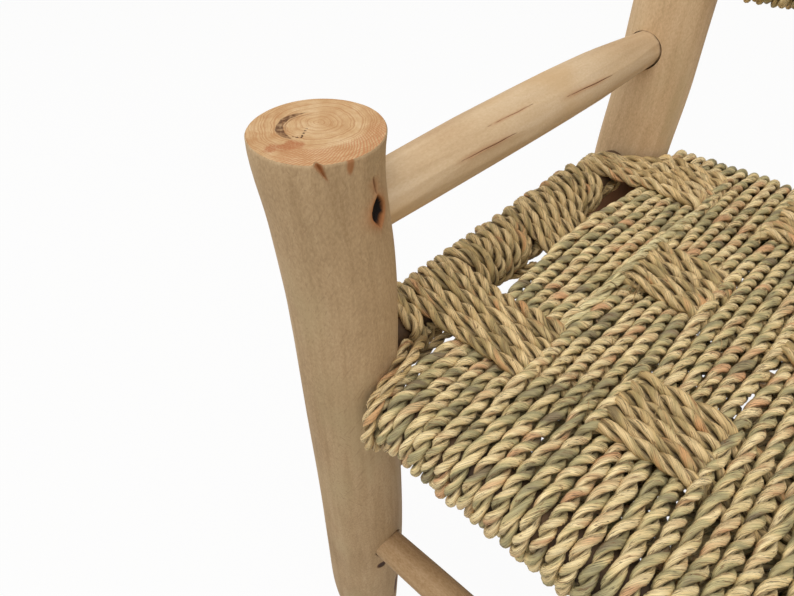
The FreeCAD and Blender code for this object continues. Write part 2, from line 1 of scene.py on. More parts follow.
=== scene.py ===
"""The looks of a rustic armchair: peeled poles, and a seat and backrest woven from two-ply palm rope.

Metres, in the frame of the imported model: +X to the right of a person who faces the chair, the
front faces -Y, +Z up, and the floor at zero under the middle of the chair.
"""

import math

import bpy
import numpy as np
from mathutils import Matrix, Vector
from mathutils.bvhtree import BVHTree
from mathutils.kdtree import KDTree


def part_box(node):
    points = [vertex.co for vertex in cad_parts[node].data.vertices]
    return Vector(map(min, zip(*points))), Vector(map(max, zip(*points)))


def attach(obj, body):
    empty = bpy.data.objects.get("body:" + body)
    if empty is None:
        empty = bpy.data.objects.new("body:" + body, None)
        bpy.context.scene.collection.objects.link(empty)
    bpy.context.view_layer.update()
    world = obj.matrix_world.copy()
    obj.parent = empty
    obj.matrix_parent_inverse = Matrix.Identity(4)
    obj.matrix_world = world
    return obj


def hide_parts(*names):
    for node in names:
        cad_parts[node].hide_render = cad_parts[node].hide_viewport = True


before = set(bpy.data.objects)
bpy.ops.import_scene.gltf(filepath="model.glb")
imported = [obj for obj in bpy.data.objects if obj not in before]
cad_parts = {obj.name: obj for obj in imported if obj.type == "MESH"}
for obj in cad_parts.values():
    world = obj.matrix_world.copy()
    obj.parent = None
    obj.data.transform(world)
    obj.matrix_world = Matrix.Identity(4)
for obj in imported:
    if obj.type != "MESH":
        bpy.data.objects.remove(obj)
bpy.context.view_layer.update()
MM = 0.001
DEGREE = math.pi / 180
rng = np.random.default_rng(7)


def span(node, axis):
    """Lowest and highest coordinate of a CAD node along one axis."""
    low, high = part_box(node)
    return low[axis], high[axis]


def middle(node, axis):
    return sum(span(node, axis)) / 2


def width(node, axis):
    low, high = span(node, axis)
    return high - low


# Places of the frame that the rope follows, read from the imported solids
X, Y, Z = 0, 1, 2
ROPE = width("seat_warp_under_1", Z)
RAIL_RADIUS = width("seat_rail_front", Z) / 2
SIDE_X = middle("back_weft_turns_right", X)
REAR_Y = middle("back_weft_turns_right", Y)
FRONT_Y = middle("seat_rail_front", Y)
RAIL_Z = middle("seat_rail_front", Z)
SIDE_RAIL_Z = middle("seat_rail_left", Z)
BACK_LOW_Z = middle("back_rail_lower", Z)
BACK_HIGH_Z = middle("back_rail_upper", Z)
TURN = width("seat_warp_turns_front", Z) / 2 - ROPE / 2
REAR_BOW = span("seat_rail_rear", Y)[1] - RAIL_RADIUS - REAR_Y
BOW_RADIUS = (SIDE_X**2 + REAR_BOW**2) / (2 * REAR_BOW)
SEAT_TOP_Z = RAIL_Z + TURN + ROPE / 2
GROUPS = 7


def bow_y(x):
    """How far back the bowed rear poles lie at x."""
    return REAR_Y + REAR_BOW - BOW_RADIUS + math.sqrt(BOW_RADIUS**2 - x**2)


# Node trees and materials


def linear(code):
    """An sRGB hex value as linear colour with alpha."""
    channels = [int(code[i : i + 2], 16) / 255 for i in (0, 2, 4)]
    return [c / 12.92 if c <= 0.04045 else ((c + 0.055) / 1.055) ** 2.4 for c in channels] + [1.0]


def add(tree, kind, *values, **named):
    """Adds a node and returns its first output.

    The values are numbers, hex colours or other nodes' outputs for its inputs, in their order. What is
    named is a setting of the node, or else an input by its label, with underscores for spaces.
    """
    node = tree.nodes.new(kind)
    labelled = {}
    for name, value in named.items():
        if hasattr(node, name):
            setattr(node, name, value)
        else:
            labelled[name.replace("_", " ")] = value
    pairs = list(zip([socket for socket in node.inputs if socket.enabled], values))
    pairs += [(node.inputs[label], value) for label, value in labelled.items()]
    for socket, value in pairs:
        if isinstance(value, bpy.types.NodeSocket):
            tree.links.new(value, socket)
        elif socket.type == "RGBA" and isinstance(value, str):
            socket.default_value = linear(value)
        else:
            socket.default_value = value
    return next(socket for socket in node.outputs if socket.enabled)


SMOOTH = {"interpolation_type": "SMOOTHSTEP"}


def ramp(tree, factor, stops):
    """A colour ramp from (place, hex value) stops."""
    colour = add(tree, "ShaderNodeValToRGB", factor)
    elements = colour.node.color_ramp.elements
    while len(elements) < len(stops):
        elements.new(0.5)
    for element, (place, code) in zip(elements, stops):
        element.position = place
        element.color = linear(code)
    return colour


def layered(tree, colour, *layers):
    """Colours laid over a colour in turn, each as (how much of it, hex value)."""
    for share, over in layers:
        colour = add(tree, "ShaderNodeMix", share, colour, over, data_type="RGBA")
    return colour


def weighted(tree, *terms):
    """The sum of numbers times their weights, each as (output, weight)."""
    total = None
    for value, weight in terms:
        if weight != 1:
            value = add(tree, "ShaderNodeMath", value, weight, operation="MULTIPLY")
        total = value if total is None else add(tree, "ShaderNodeMath", total, value, operation="ADD")
    return total


def grain(tree, place, scale, offset=(0, 0, 0), **looks):
    """Noise that is stretched: scale says how quickly it changes along each axis."""
    drawn = add(tree, "ShaderNodeMapping", place, Scale=scale, Location=offset)
    return add(tree, "ShaderNodeTexNoise", drawn, Scale=1.0, **looks)


def near(tree, value, at, close, far, strength=1.0):
    """The strength where a number lies within close of at, easing to zero at far from it."""
    aside = add(tree, "ShaderNodeMath", value, at, operation="SUBTRACT")
    aside = add(tree, "ShaderNodeMath", aside, operation="ABSOLUTE")
    return add(tree, "ShaderNodeMapRange", aside, close, far, strength, 0.0, **SMOOTH)


def window(tree, value, low, high, soft):
    """One between low and high, easing to zero over soft outside them."""
    rise = add(tree, "ShaderNodeMapRange", value, low - soft, low, **SMOOTH)
    fall = add(tree, "ShaderNodeMapRange", value, high, high + soft, 1.0, 0.0, **SMOOTH)
    return add(tree, "ShaderNodeMath", rise, fall, operation="MULTIPLY")


def new_material(name):
    material = bpy.data.materials.new(name)
    material.use_nodes = True
    tree = material.node_tree
    for node in list(tree.nodes):
        if node.type != "OUTPUT_MATERIAL":
            tree.nodes.remove(node)
    return material, tree


def end_material(tree, shader):
    output = next(node for node in tree.nodes if node.type == "OUTPUT_MATERIAL")
    tree.links.new(shader, output.inputs["Surface"])


def surface(tree, colour, roughness, height, strength=0.5, distance=0.5 * MM, **others):
    """Ends a material in one Principled shader with its bump."""
    bump = add(tree, "ShaderNodeBump", Height=height, Strength=strength, Distance=distance)
    looks = {"Base_Color": colour, "Roughness": roughness, "Normal": bump, **others}
    end_material(tree, add(tree, "ShaderNodeBsdfPrincipled", **looks))


# Objects, meshes and lines


def placed(name, data):
    """A new object of the scene with this data."""
    thing = bpy.data.objects.new(name, data)
    bpy.context.scene.collection.objects.link(thing)
    return thing


def evaluated_mesh(thing):
    """A new mesh of the object as its modifiers leave it."""
    graph = bpy.context.evaluated_depsgraph_get()
    return bpy.data.meshes.new_from_object(thing.evaluated_get(graph), depsgraph=graph)


def ray_target(mesh):
    """A mesh made ready to cast rays at."""
    return BVHTree.FromPolygons([v.co for v in mesh.vertices], [face.vertices for face in mesh.polygons])


def other_axes(axis):
    """The other two axes, in order."""
    return [k for k in (X, Y, Z) if k != axis]


def distances(line):
    """How far along a line each of its points lies."""
    return np.concatenate([[0], np.cumsum(np.linalg.norm(np.diff(line, axis=0), axis=1))])


def read_off(wanted, places, values):
    """The columns of values, which are known at places, read off at the wanted places."""
    return np.stack([np.interp(wanted, places, column) for column in values.T], axis=1)


def seated(piece, replaced=()):
    """Every piece rides on the chair's one body, and the solids that it replaces are hidden."""
    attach(piece, "root")
    if replaced:
        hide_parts(*replaced)
    return piece


# Two-ply rope as a tree: it twists a two-lobed section along every spline that it is given


def group_sockets(tree, inputs):
    tree.interface.new_socket("Geometry", in_out="OUTPUT", socket_type="NodeSocketGeometry")
    tree.interface.new_socket("Geometry", in_out="INPUT", socket_type="NodeSocketGeometry")
    for name, kind, value in inputs:
        socket = tree.interface.new_socket(name, in_out="INPUT", socket_type=kind)
        if value is not None:
            socket.default_value = value


def captured(tree, geometry, values):
    """Captures point values by name on a geometry; returns it and the captured sockets."""
    node = tree.nodes.new("GeometryNodeCaptureAttribute")
    node.domain = "POINT"
    tree.links.new(geometry, node.inputs[0])
    for name, value in values.items():
        is_socket = isinstance(value, bpy.types.NodeSocket)
        node.capture_items.new("VECTOR" if is_socket and value.type == "VECTOR" else "FLOAT", name)
        if is_socket:
            tree.links.new(value, node.inputs[name])
        else:
            node.inputs[name].default_value = value
    return node.outputs[0], [node.outputs[name] for name in values]


# One ply's section is a fat lens beside the rope's middle line, in shares of the rope's radius
PLY_HALF_WIDTH = 0.49
PLY_HALF_HEIGHT = 0.62
PLY_ASIDE = 0.47
# Unevenness: how many turns the lay wanders, and by how much the rope's thickness changes
WANDERING_TURNS = 2.4
THINNEST, THICKEST = 0.88, 1.12


def laid_rope_tree():
    """Splines become two-ply rope: inputs are real sizes, and Seed sets phases and unevenness."""
    tree = bpy.data.node_groups.new("laid_rope", "GeometryNodeTree")
    group_sockets(
        tree,
        (
            ("Diameter", "NodeSocketFloat", ROPE),
            ("Lay", "NodeSocketFloat", 25 * MM),
            ("Step", "NodeSocketFloat", 2.6 * MM),
            ("Sides", "NodeSocketInt", 10),
            ("Unevenness", "NodeSocketFloat", 0.9 * MM),
            ("Squeeze", "NodeSocketVector", (1.0, 1.0, 1.0)),
            ("Seed", "NodeSocketInt", 1),
            ("Material", "NodeSocketMaterial", None),
        ),
    )

    size = tree.nodes.new("NodeGroupInput").outputs
    path = add(tree, "GeometryNodeResampleCurve", Curve=size["Geometry"], Length=size["Step"], mode="LENGTH")
    along = add(tree, "GeometryNodeSplineParameter").node.outputs["Length"]
    owner = add(tree, "GeometryNodeCurveOfPoint")
    # Every strand has a number of its own, so that no two ropes are uneven alike
    strand = weighted(tree, (owner, 3.7), (size["Seed"], 17.3))
    place = add(tree, "ShaderNodeCombineXYZ", weighted(tree, (along, 7.0)), strand, 0.0)
    wandering = add(tree, "ShaderNodeTexNoise", place, Scale=1.0, Detail=1.0)
    turns = add(tree, "ShaderNodeMath", along, size["Lay"], operation="DIVIDE")
    turns = weighted(tree, (turns, 1), (wandering, WANDERING_TURNS), (strand, 0.31))
    # A right-handed lay: the section turns clockwise along the rope
    path = add(tree, "GeometryNodeSetCurveTilt", Curve=path, Tilt=weighted(tree, (turns, 2 * math.pi)))
    place = add(tree, "ShaderNodeCombineXYZ", weighted(tree, (along, 21.0)), strand, 5.0)
    thickness = add(tree, "ShaderNodeTexNoise", place, Scale=1.0, Detail=1.0)
    thickness = add(tree, "ShaderNodeMapRange", thickness, 0.25, 0.75, THINNEST, THICKEST, **SMOOTH)
    given_radius = add(tree, "GeometryNodeInputRadius")
    thickness = add(tree, "ShaderNodeMath", thickness, given_radius, operation="MULTIPLY")
    centre = add(tree, "GeometryNodeInputPosition")
    path, (along, strand, thickness, centre) = captured(
        tree, path, {"Along": along, "Strand": strand, "Thickness": thickness, "Centre": centre}
    )

    radius = weighted(tree, (size["Diameter"], 0.5))
    half_width, half_height, aside = (
        weighted(tree, (radius, share)) for share in (PLY_HALF_WIDTH, PLY_HALF_HEIGHT, -PLY_ASIDE)
    )
    lens = add(tree, "ShaderNodeCombineXYZ", half_width, half_height, 1.0)
    aside = add(tree, "ShaderNodeCombineXYZ", aside, 0.0, 0.0)
    section = tree.nodes.new("GeometryNodeJoinGeometry")
    arounds, plies = [], []
    for ply in (0, 1):
        circle = add(tree, "GeometryNodeCurvePrimitiveCircle", Resolution=size["Sides"], Radius=1.0)
        factor = add(tree, "GeometryNodeSplineParameter")
        circle, (around, number) = captured(tree, circle, {"Around": factor, "Ply": float(ply)})
        # The lens has its seam turned inwards, and the second lies opposite the first
        circle = add(tree, "GeometryNodeTransform", Geometry=circle, Translation=aside, Scale=lens)
        circle = add(tree, "GeometryNodeTransform", Geometry=circle, Rotation=(0, 0, math.pi * ply))
        tree.links.new(circle, section.inputs[0])
        arounds.append((around, 1))
        plies.append((number, 1))
    sweep = {"Curve": path, "Profile_Curve": section.outputs[0], "Scale": thickness, "Fill_Caps": True}
    rope = add(tree, "GeometryNodeCurveToMesh", **sweep)
    # Neighbours squeeze a rope flat on its sides: each corner moves towards the middle line
    corner = add(tree, "GeometryNodeInputPosition")
    aside = add(tree, "ShaderNodeVectorMath", corner, centre, operation="SUBTRACT")
    aside = add(tree, "ShaderNodeVectorMath", aside, size["Squeeze"], operation="MULTIPLY")
    squeezed = add(tree, "ShaderNodeVectorMath", centre, aside, operation="ADD")
    rope = add(tree, "GeometryNodeSetPosition", Geometry=rope, Position=squeezed)
    # The two circles' captured values are separate, and each is zero on the other ply
    around = weighted(tree, *arounds)
    name = weighted(tree, (strand, 1), (weighted(tree, *plies), 0.77))
    place = [weighted(tree, term) for term in ((along, 95.0), (around, 2.4), (name, 5.0))]
    lumps = add(tree, "ShaderNodeTexNoise", add(tree, "ShaderNodeCombineXYZ", *place), Scale=1.0)
    push = add(tree, "ShaderNodeMath", lumps, 0.5, operation="SUBTRACT")
    push = add(tree, "ShaderNodeMath", push, size["Unevenness"], operation="MULTIPLY")
    push = weighted(tree, (push, 2.0))
    normal = add(tree, "GeometryNodeInputNormal")
    offset = add(tree, "ShaderNodeVectorMath", normal, push, operation="SCALE")
    rope = add(tree, "GeometryNodeSetPosition", Geometry=rope, Offset=offset)
    place = add(tree, "ShaderNodeCombineXYZ", along, around, name)
    kept = {"Name": "strand", "Value": place, "data_type": "FLOAT_VECTOR", "domain": "POINT"}
    rope = add(tree, "GeometryNodeStoreNamedAttribute", Geometry=rope, **kept)
    rope = add(tree, "GeometryNodeSetShadeSmooth", Geometry=rope)
    rope = add(tree, "GeometryNodeRealizeInstances", Geometry=rope)
    rope = add(tree, "GeometryNodeSetMaterial", Geometry=rope, Material=size["Material"])
    tree.links.new(rope, tree.nodes.new("NodeGroupOutput").inputs[0])
    return tree


ROPE_TREE = laid_rope_tree()

# Neighbouring ropes press into each other, so each is plumper than its share of the seat
PLUMP = 1.33 * ROPE
SQUEEZED = 0.79


def rounded(points, step=1.5 * MM, stiffness=7 * MM):
    """Key points as an even, close line, with its corners eased as a stiff rope eases them."""
    points = np.array(points, float)
    lengths = distances(points)
    line = read_off(np.linspace(0, lengths[-1], max(8, int(lengths[-1] / step))), lengths, points)
    reach = max(1, int(stiffness / step / 2))
    kernel = np.ones(2 * reach + 1) / (2 * reach + 1)
    for _ in range(2):
        head = 2 * line[0] - line[1 : reach + 1][::-1]
        tail = 2 * line[-1] - line[-reach - 1 : -1][::-1]
        padded = np.concatenate([head, line, tail])
        line = np.stack([np.convolve(column, kernel, mode="valid") for column in padded.T], axis=1)
    return line


def swayed(line, sway, knot=28 * MM):
    """Adds a slow random sway, as hand-pulled rope has; both ends stay."""
    lengths = distances(line)
    count = max(3, int(lengths[-1] / knot))
    knots = rng.normal(0, sway, (count, 3))
    knots[0] = knots[-1] = 0
    return line + read_off(lengths, np.linspace(0, lengths[-1], count), knots)


def rope_piece(name, lines, material, lay, slot, replaced, seed, beside=X, fuller=0.0, **sizes):
    """One mesh of two-ply ropes along these lines; beside is the axis they press on each other in."""
    squeeze = [1.0, 1.0, 1.0]
    squeeze[beside] = SQUEEZED
    curve = bpy.data.curves.new(name, "CURVE")
    curve.dimensions = "3D"
    for line in lines:
        spline = curve.splines.new("POLY")
        spline.points.add(len(line) - 1)
        spline.points.foreach_set("co", np.c_[line, np.ones(len(line))].ravel())
        # The under layer is slack, so its ropes lie wider and close the gaps between them
        slack = np.clip((RAIL_Z - line[:, 2]) / TURN, 0, 1) * (line[:, 2] < RAIL_Z)
        spline.points.foreach_set("radius", 1 + fuller * slack)
    maker = placed(name + "_line", curve)
    modifier = maker.modifiers.new("laid_rope", "NODES")
    modifier.node_group = ROPE_TREE
    values = {"Diameter": PLUMP, "Lay": lay, "Seed": seed, "Material": material, "Squeeze": squeeze, **sizes}
    for item in ROPE_TREE.interface.items_tree:
        if item.in_out == "INPUT" and item.name in values:
            modifier[item.identifier] = values[item.name]
    maker.update_tag()
    mesh = evaluated_mesh(maker)
    mesh.name = name
    bpy.data.objects.remove(maker)
    return seated(placed(name, mesh), replaced)


def palm_rope(name, stops, tear_and_crease_shade, fold, reach=0.3, dark=0.75):
    """Twisted palm leaf: folded leaf strips whose fibres follow the ply, matt with a faint satin.

    Shade is painted into the crease between the plies: it begins at reach from a ply's middle and is as
    strong as dark says.
    """
    material, tree = new_material(name)
    place = add(tree, "ShaderNodeAttribute", attribute_name="strand").node.outputs["Vector"]
    # A leaf strip keeps its colour for a few centimetres, then the next one is laid in
    leaf = weighted(tree, (grain(tree, place, (22.0, 0.9, 6.1), Roughness=0.65), 1.5))
    leaf = add(tree, "ShaderNodeMath", leaf, -0.25, operation="ADD")
    colour = ramp(tree, leaf, stops)
    fibres = grain(tree, place, (90.0, 34.0, 7.7), Detail=3.0, Roughness=0.65)
    light = add(tree, "ShaderNodeMapRange", fibres, 0.3, 0.7, 0.8, 1.26, **SMOOTH)
    light = add(tree, "ShaderNodeCombineXYZ", light, light, light)
    colour = add(tree, "ShaderNodeMix", 1.0, colour, light, data_type="RGBA", blend_type="MULTIPLY")
    # Folded edges of the leaf show as thin brown lines along the ply
    folds = grain(tree, place, (36.0, 8.0, 3.3), (4.0, 2.0, 1.0), Detail=1.0)
    edge = near(tree, folds, 0.46, 0.004, 0.022, 0.75)
    # Torn edges are darker and run slightly across the ply
    torn = grain(tree, place, (30.0, 10.0, 4.1), (1.0, 7.0, 3.0), Roughness=0.6)
    tear = near(tree, torn, 0.53, 0.003, 0.016, 0.85)
    # Painted shade: each ply is darkened where it lies against its neighbour
    around = add(tree, "ShaderNodeSeparateXYZ", place).node.outputs["Y"]
    inward = add(tree, "ShaderNodeMath", around, 0.5, operation="SUBTRACT")
    inward = add(tree, "ShaderNodeMath", inward, operation="ABSOLUTE")
    painted_crease_shade = add(tree, "ShaderNodeMapRange", inward, reach, 0.44, **SMOOTH)
    painted_crease_shade = weighted(tree, (painted_crease_shade, dark))
    colour = layered(tree, colour, (edge, fold), (tear, tear_and_crease_shade), (painted_crease_shade, tear_and_crease_shade))
    height = weighted(tree, (fibres, 0.55), (folds, 0.9), (tear, -0.3))
    roughness = add(tree, "ShaderNodeMapRange", fibres, 0.2, 0.8, 0.78, 0.58, **SMOOTH)
    surface(tree, colour, roughness, height, strength=0.7, distance=0.8 * MM)
    return material


STRAW_STOPS = (
    (0.2, "857659"), (0.32, "a39970"), (0.41, "bfb180"), (0.49, "e0c892"),
    (0.57, "f0dba8"), (0.67, "d3b686"), (0.78, "d3a679"),
)
WEFT_STOPS = (
    (0.2, "8a724a"), (0.34, "b49a67"), (0.45, "d6b881"), (0.56, "e4cb99"), (0.66, "bea673"), (0.78, "cfa270"),
)
OLIVE_STOPS = (
    (0.2, "897650"), (0.34, "ac9663"), (0.45, "cbae78"), (0.56, "e2c691"), (0.66, "b49e6c"), (0.78, "cc9c68"),
)
PALE_STOPS = ((0.25, "b5a77c"), (0.42, "d3c592"), (0.56, "ecdfae"), (0.7, "dccb98"))
# The third colour of each is for torn edges and for the shade painted into the creases
WARP_PALM = palm_rope("palm_rope_warp", STRAW_STOPS, "35250f", "7c5530")
WEFT_PALM = palm_rope("palm_rope_weft", WEFT_STOPS, "35230d", "80502a")
PALE_PALM = palm_rope("palm_rope_pale", PALE_STOPS, "4a3819", "8a6236", dark=0.6)
# The front and middle bands and the windings are laid looser, with wider and darker painted shade in their
# creases
LOOSE_PALM = palm_rope("palm_rope_loose", OLIVE_STOPS, "2b1c09", "6f4522", reach=0.26, dark=0.85)
WARP_LAY = 31 * MM
BAND_LAY = 38 * MM


# The seat's rope

TOP_Z = RAIL_Z + TURN
UNDER_Z = RAIL_Z - TURN
SINK = (width("seat_warp_top_4", Z) - ROPE) / 2
BAND_WORDS = ("front", "middle", "rear")
BANDS = [span(f"seat_weft_{word}", Y) for word in BAND_WORDS]
BAND_MIDDLES = [sum(ends) / 2 for ends in BANDS]
HALF_BAND = (BANDS[0][1] - BANDS[0][0]) / 2
RAMP = 11 * MM
OVER = ROPE - SINK
PRESS = 1.5 * MM
WARP_SWAY = 0.45 * MM
BAND_SWAY = 0.4 * MM
STRAND_SWAY = 0.5 * MM
ROPES_PER_GROUP = 6
WARP_GROUPS = [span(f"seat_warp_top_{k + 1}", X) for k in range(GROUPS)]
GROUP_PITCH = middle("seat_warp_top_2", X) - middle("seat_warp_top_1", X)
OPEN_PITCH = GROUP_PITCH / ROPES_PER_GROUP
TIGHT_PITCH = 0.91 * OPEN_PITCH
WIDE_PITCH = 1.06 * OPEN_PITCH
UNDER_FULLER = 0.36
MIDDLE_Y = (FRONT_Y + REAR_Y) / 2


def weft_is_over(group, band):
    return (group + band) % 2 == 0


def arc(centre, start, finish, radius=TURN, step=15):
    """(horizontal, vertical) points of an arc, in degrees, for a turn round a rail."""
    count = max(2, int(abs(finish - start) / step) + 1)
    angles = np.radians(np.linspace(start, finish, count))
    return [(centre[0] + radius * math.cos(a), centre[1] + radius * math.sin(a)) for a in angles]


def warp_top(group, rope):
    """Key points of one warp rope's top run: it dips under and rises over the weft bands."""
    centre = sum(WARP_GROUPS[group]) / 2
    place = rope - (ROPES_PER_GROUP - 1) / 2

    def spot(y, level, pitch):
        return (centre + place * pitch, y, TOP_Z + level)

    points = [spot(FRONT_Y, 0, OPEN_PITCH), spot(FRONT_Y + 2 * ROPE, 0, OPEN_PITCH)]
    for band, mid in enumerate(BAND_MIDDLES):
        over = weft_is_over(group, band)
        # A band presses its group down and together; over one, the outer ropes lie on the band's ends
        pitch = TIGHT_PITCH if over else WIDE_PITCH
        outer = abs(place) > 2
        level = -SINK - PRESS if over else SINK + (PRESS if outer else 0)
        points.append(spot(mid - HALF_BAND - RAMP, 0, pitch))
        points.append(spot(mid - HALF_BAND, level, pitch))
        points.append(spot(mid + HALF_BAND, level, pitch))
        points.append(spot(mid + HALF_BAND + RAMP, 0, pitch))
        if band < len(BAND_MIDDLES) - 1:
            between = (mid + BAND_MIDDLES[band + 1]) / 2
            points.append(spot(between, 0, OPEN_PITCH))
    x = centre + place * OPEN_PITCH
    points.append((x, bow_y(x) - ROPE, TOP_Z))
    return points


def warp_line(group):
    """One unbroken rope wound round the front and rear rails, a pitch further at each turn."""
    points = []
    for rope in range(ROPES_PER_GROUP):
        top = warp_top(group, rope)
        x, last_x = top[0][0], top[-1][0]
        if rope == 0:
            points.append((x, MIDDLE_Y, UNDER_Z))
        points += [(x, y, z) for y, z in arc((FRONT_Y, RAIL_Z), 270, 90)]
        points += top
        points += [(last_x, y, z) for y, z in arc((bow_y(last_x), RAIL_Z), 90, -90)]
    points.append((points[-1][0], MIDDLE_Y, UNDER_Z))
    return rounded(points)


def seat_warps():
    turns = ("seat_warp_turns_front", "seat_warp_turns_rear")
    for group in range(GROUPS):
        number = group + 1
        name = f"seat_warp_rope_{number}"
        nodes = (f"seat_warp_top_{number}", f"seat_warp_under_{number}") + turns
        lines = [swayed(warp_line(group), WARP_SWAY)]
        rope_piece(name, lines, WARP_PALM, WARP_LAY, "warp_rope", nodes, number, fuller=UNDER_FULLER)


def weave_level(x, band):
    """Height of a weft rope over the warp's own level where it crosses the groups."""
    for group, (left, right) in enumerate(WARP_GROUPS):
        if x <= right + (GROUP_PITCH - (right - left)) / 2:
            break
    return OVER - PRESS if weft_is_over(group, band) else PRESS - OVER


def weft_line(band, place, rail_place, lift):
    """A weft rope from the inner side of one side rail, over it, across the weave, and alike there."""
    crown = SIDE_RAIL_Z + TURN + lift
    half = []
    for x, z in arc((-SIDE_X, SIDE_RAIL_Z), 0, -270, TURN + lift):
        half.append((x, rail_place, z))
    first = WARP_GROUPS[0][0]
    level = TOP_Z + weave_level(first, band)
    half.append((-SIDE_X + TURN * 0.55, rail_place + (place - rail_place) * 0.12, crown - 1.0 * MM))
    half.append((first - 0.3 * ROPE, rail_place + (place - rail_place) * 0.85, level + 0.5 * lift))
    across = []
    for group, (left, right) in enumerate(WARP_GROUPS):
        level = TOP_Z + weave_level((left + right) / 2, band)
        inset = -0.12 * ROPE if weft_is_over(group, band) else 0.6 * ROPE
        across.append((left + inset, place, level))
        across.append((right - inset, place, level))
    other = [(-x, y, z) for x, y, z in reversed(half)]
    return half + across + other


def seat_wefts():
    """Three bands; the rear one is bunched in front of the rear posts, two of its ropes sunk between."""
    ropes = 6
    pitch = (2 * HALF_BAND - ROPE) / (ropes - 1)
    rear_low = BANDS[2][0] - 8 * MM
    # Each rope of the rear band on the side rail, in ropes: how far back, and how much higher
    bunched = [(0.0, -0.4), (0.78, -0.4), (1.2, -0.75), (1.56, -0.4), (2.0, -0.75), (2.36, -0.35)]
    turns = ("seat_weft_turns_left", "seat_weft_turns_right")
    for band, word in enumerate(BAND_WORDS):
        lines = []
        for rope in range(ropes):
            place = BANDS[band][0] + ROPE / 2 + rope * pitch
            rail_place, lift = place, 0.0
            if word == "rear":
                across, up = bunched[rope]
                rail_place, lift = rear_low + across * ROPE, up * ROPE
            line = rounded(weft_line(band, place, rail_place, lift), stiffness=4 * MM)
            lines.append(swayed(line, BAND_SWAY))
        nodes = (f"seat_weft_{word}",) + turns
        palm = WEFT_PALM if word == "rear" else LOOSE_PALM
        rope_piece(f"seat_weft_rope_{word}", lines, palm, BAND_LAY, "weft_rope", nodes, 20 + band, Y)


def round_side_rail(hand, angle, reach, y):
    """A place round a side rail: its angle counts up from the rail's inner side, in radians."""
    return hand * (SIDE_X - reach * math.cos(angle)), y, SIDE_RAIL_Z + reach * math.sin(angle)


def winding_line(hand, start, finish):
    """A rope wound on a side rail from start to finish, both ends tucked in on the inner side."""
    pitch = 1.04 * ROPE
    length = finish - start - ROPE
    # The last turn lies close against what follows: past the rail's outer side it no longer advances
    closing = 0.72
    turns = max(1, round(length / pitch + closing))
    tucked, points_a_turn = -80, 24
    angles = np.radians(np.linspace(tucked, tucked - 360 * turns, points_a_turn * turns + 1))
    share = np.linspace(0, turns, len(angles)) / (turns - closing)
    places = start + ROPE / 2 + length * np.minimum(share, 1)
    return rounded([round_side_rail(hand, angle, TURN, y) for angle, y in zip(angles, places)])


def carried_line(hand, start, finish):
    """A strand carried on below the windings' inner side, with its ends tucked under the rail."""
    reach = TURN + ROPE
    rise = min(12 * MM, (finish - start) / 3)
    turns = [(-95, start), (-60, start + rise / 3), (-22, start + rise)]
    turns += [(-18, (start + finish) / 2), (-24, finish - rise), (-60, finish - rise / 3), (-95, finish)]
    return rounded([round_side_rail(hand, turn * DEGREE, reach, y) for turn, y in turns])


def corner_line(hand, points):
    """A strand from the front rail slantwise to the side rail, given from the front post's middle."""
    places = [(hand * (SIDE_X - x * MM), FRONT_Y + y * MM, SEAT_TOP_Z + z * MM) for x, y, z in points]
    return swayed(rounded(places), STRAND_SWAY)


def closing_lines(hand):
    """Slack ropes below, beside the first group, tucked under the front and the rear rail."""
    beside_group = 0.52 * ROPE - WARP_GROUPS[0][0]
    low, high = (middle(f"seat_rail_{end}", Y) for end in ("front", "rear"))
    first = [(beside_group, y, UNDER_Z) for y in (low, (low + high) / 2, high)]
    # The second comes out from under the group behind the front band
    out = BANDS[0][1] + 84 * MM
    second = [
        (beside_group - 9 * MM, out - 26 * MM, UNDER_Z - 11 * MM),
        (beside_group + 2 * MM, out - 14 * MM, UNDER_Z - 9 * MM),
        (beside_group + 1.2 * ROPE, out, UNDER_Z - 1 * MM),
        (beside_group + 1.2 * ROPE, high, UNDER_Z),
    ]
    return [swayed(rounded([(hand * x, y, z) for x, y, z in points]), 0.6 * MM) for points in (first, second)]


# Two strands round the front corner, in millimetres from the front post's middle and the seat's top
CORNER_STRANDS = (
    (
        (45, -6, -48), (45, -18, -44), (45, -22, -27), (45, -17, -12), (44, -4, -4),
        (40, 14, -1), (34, 28, 0), (27, 38, -3), (26, 45, -18), (18, 49, -36),
    ),
    (
        (53, -6, -54), (53, -25, -46), (53, -31, -27), (53, -24, -8), (52, -8, 3),
        (49, 14, 5), (42, 33, 3), (34, 49, -4), (30, 56, -20), (20, 60, -38),
    ),
)


def seat_windings():
    post_face = FRONT_Y + width("post_front_left", Y) / 2
    last = BANDS[2][0] - 22 * MM
    stretches = [(post_face, BANDS[0][0]), (BANDS[0][1], BANDS[1][0]), (BANDS[1][1], last)]
    carried = [
        (post_face - 2 * MM, BANDS[0][1] + 14 * MM),
        (BANDS[0][1] + 66 * MM, BANDS[1][0] + 4 * MM),
        (BANDS[1][1] - 6 * MM, last - 4 * MM),
    ]
    for side, hand in (("left", -1), ("right", 1)):
        lines = [winding_line(hand, start, finish) for start, finish in stretches]
        name = f"seat_windings_{side}"
        rope_piece(name + "_rope", lines, LOOSE_PALM, 34 * MM, "weft_rope", (name,), 30 + hand, Y)
        lines = [swayed(carried_line(hand, start, finish), STRAND_SWAY) for start, finish in carried]
        lines += [corner_line(hand, points) for points in CORNER_STRANDS]
        name = f"seat_strands_{side}"
        rope_piece(name, lines, WEFT_PALM, 30 * MM, "weft_rope", (), 36 + hand, Diameter=ROPE)
        lines = closing_lines(hand)
        rope_piece(f"seat_closing_ropes_{side}", lines, WARP_PALM, WARP_LAY, "warp_rope", (), 46 + hand)


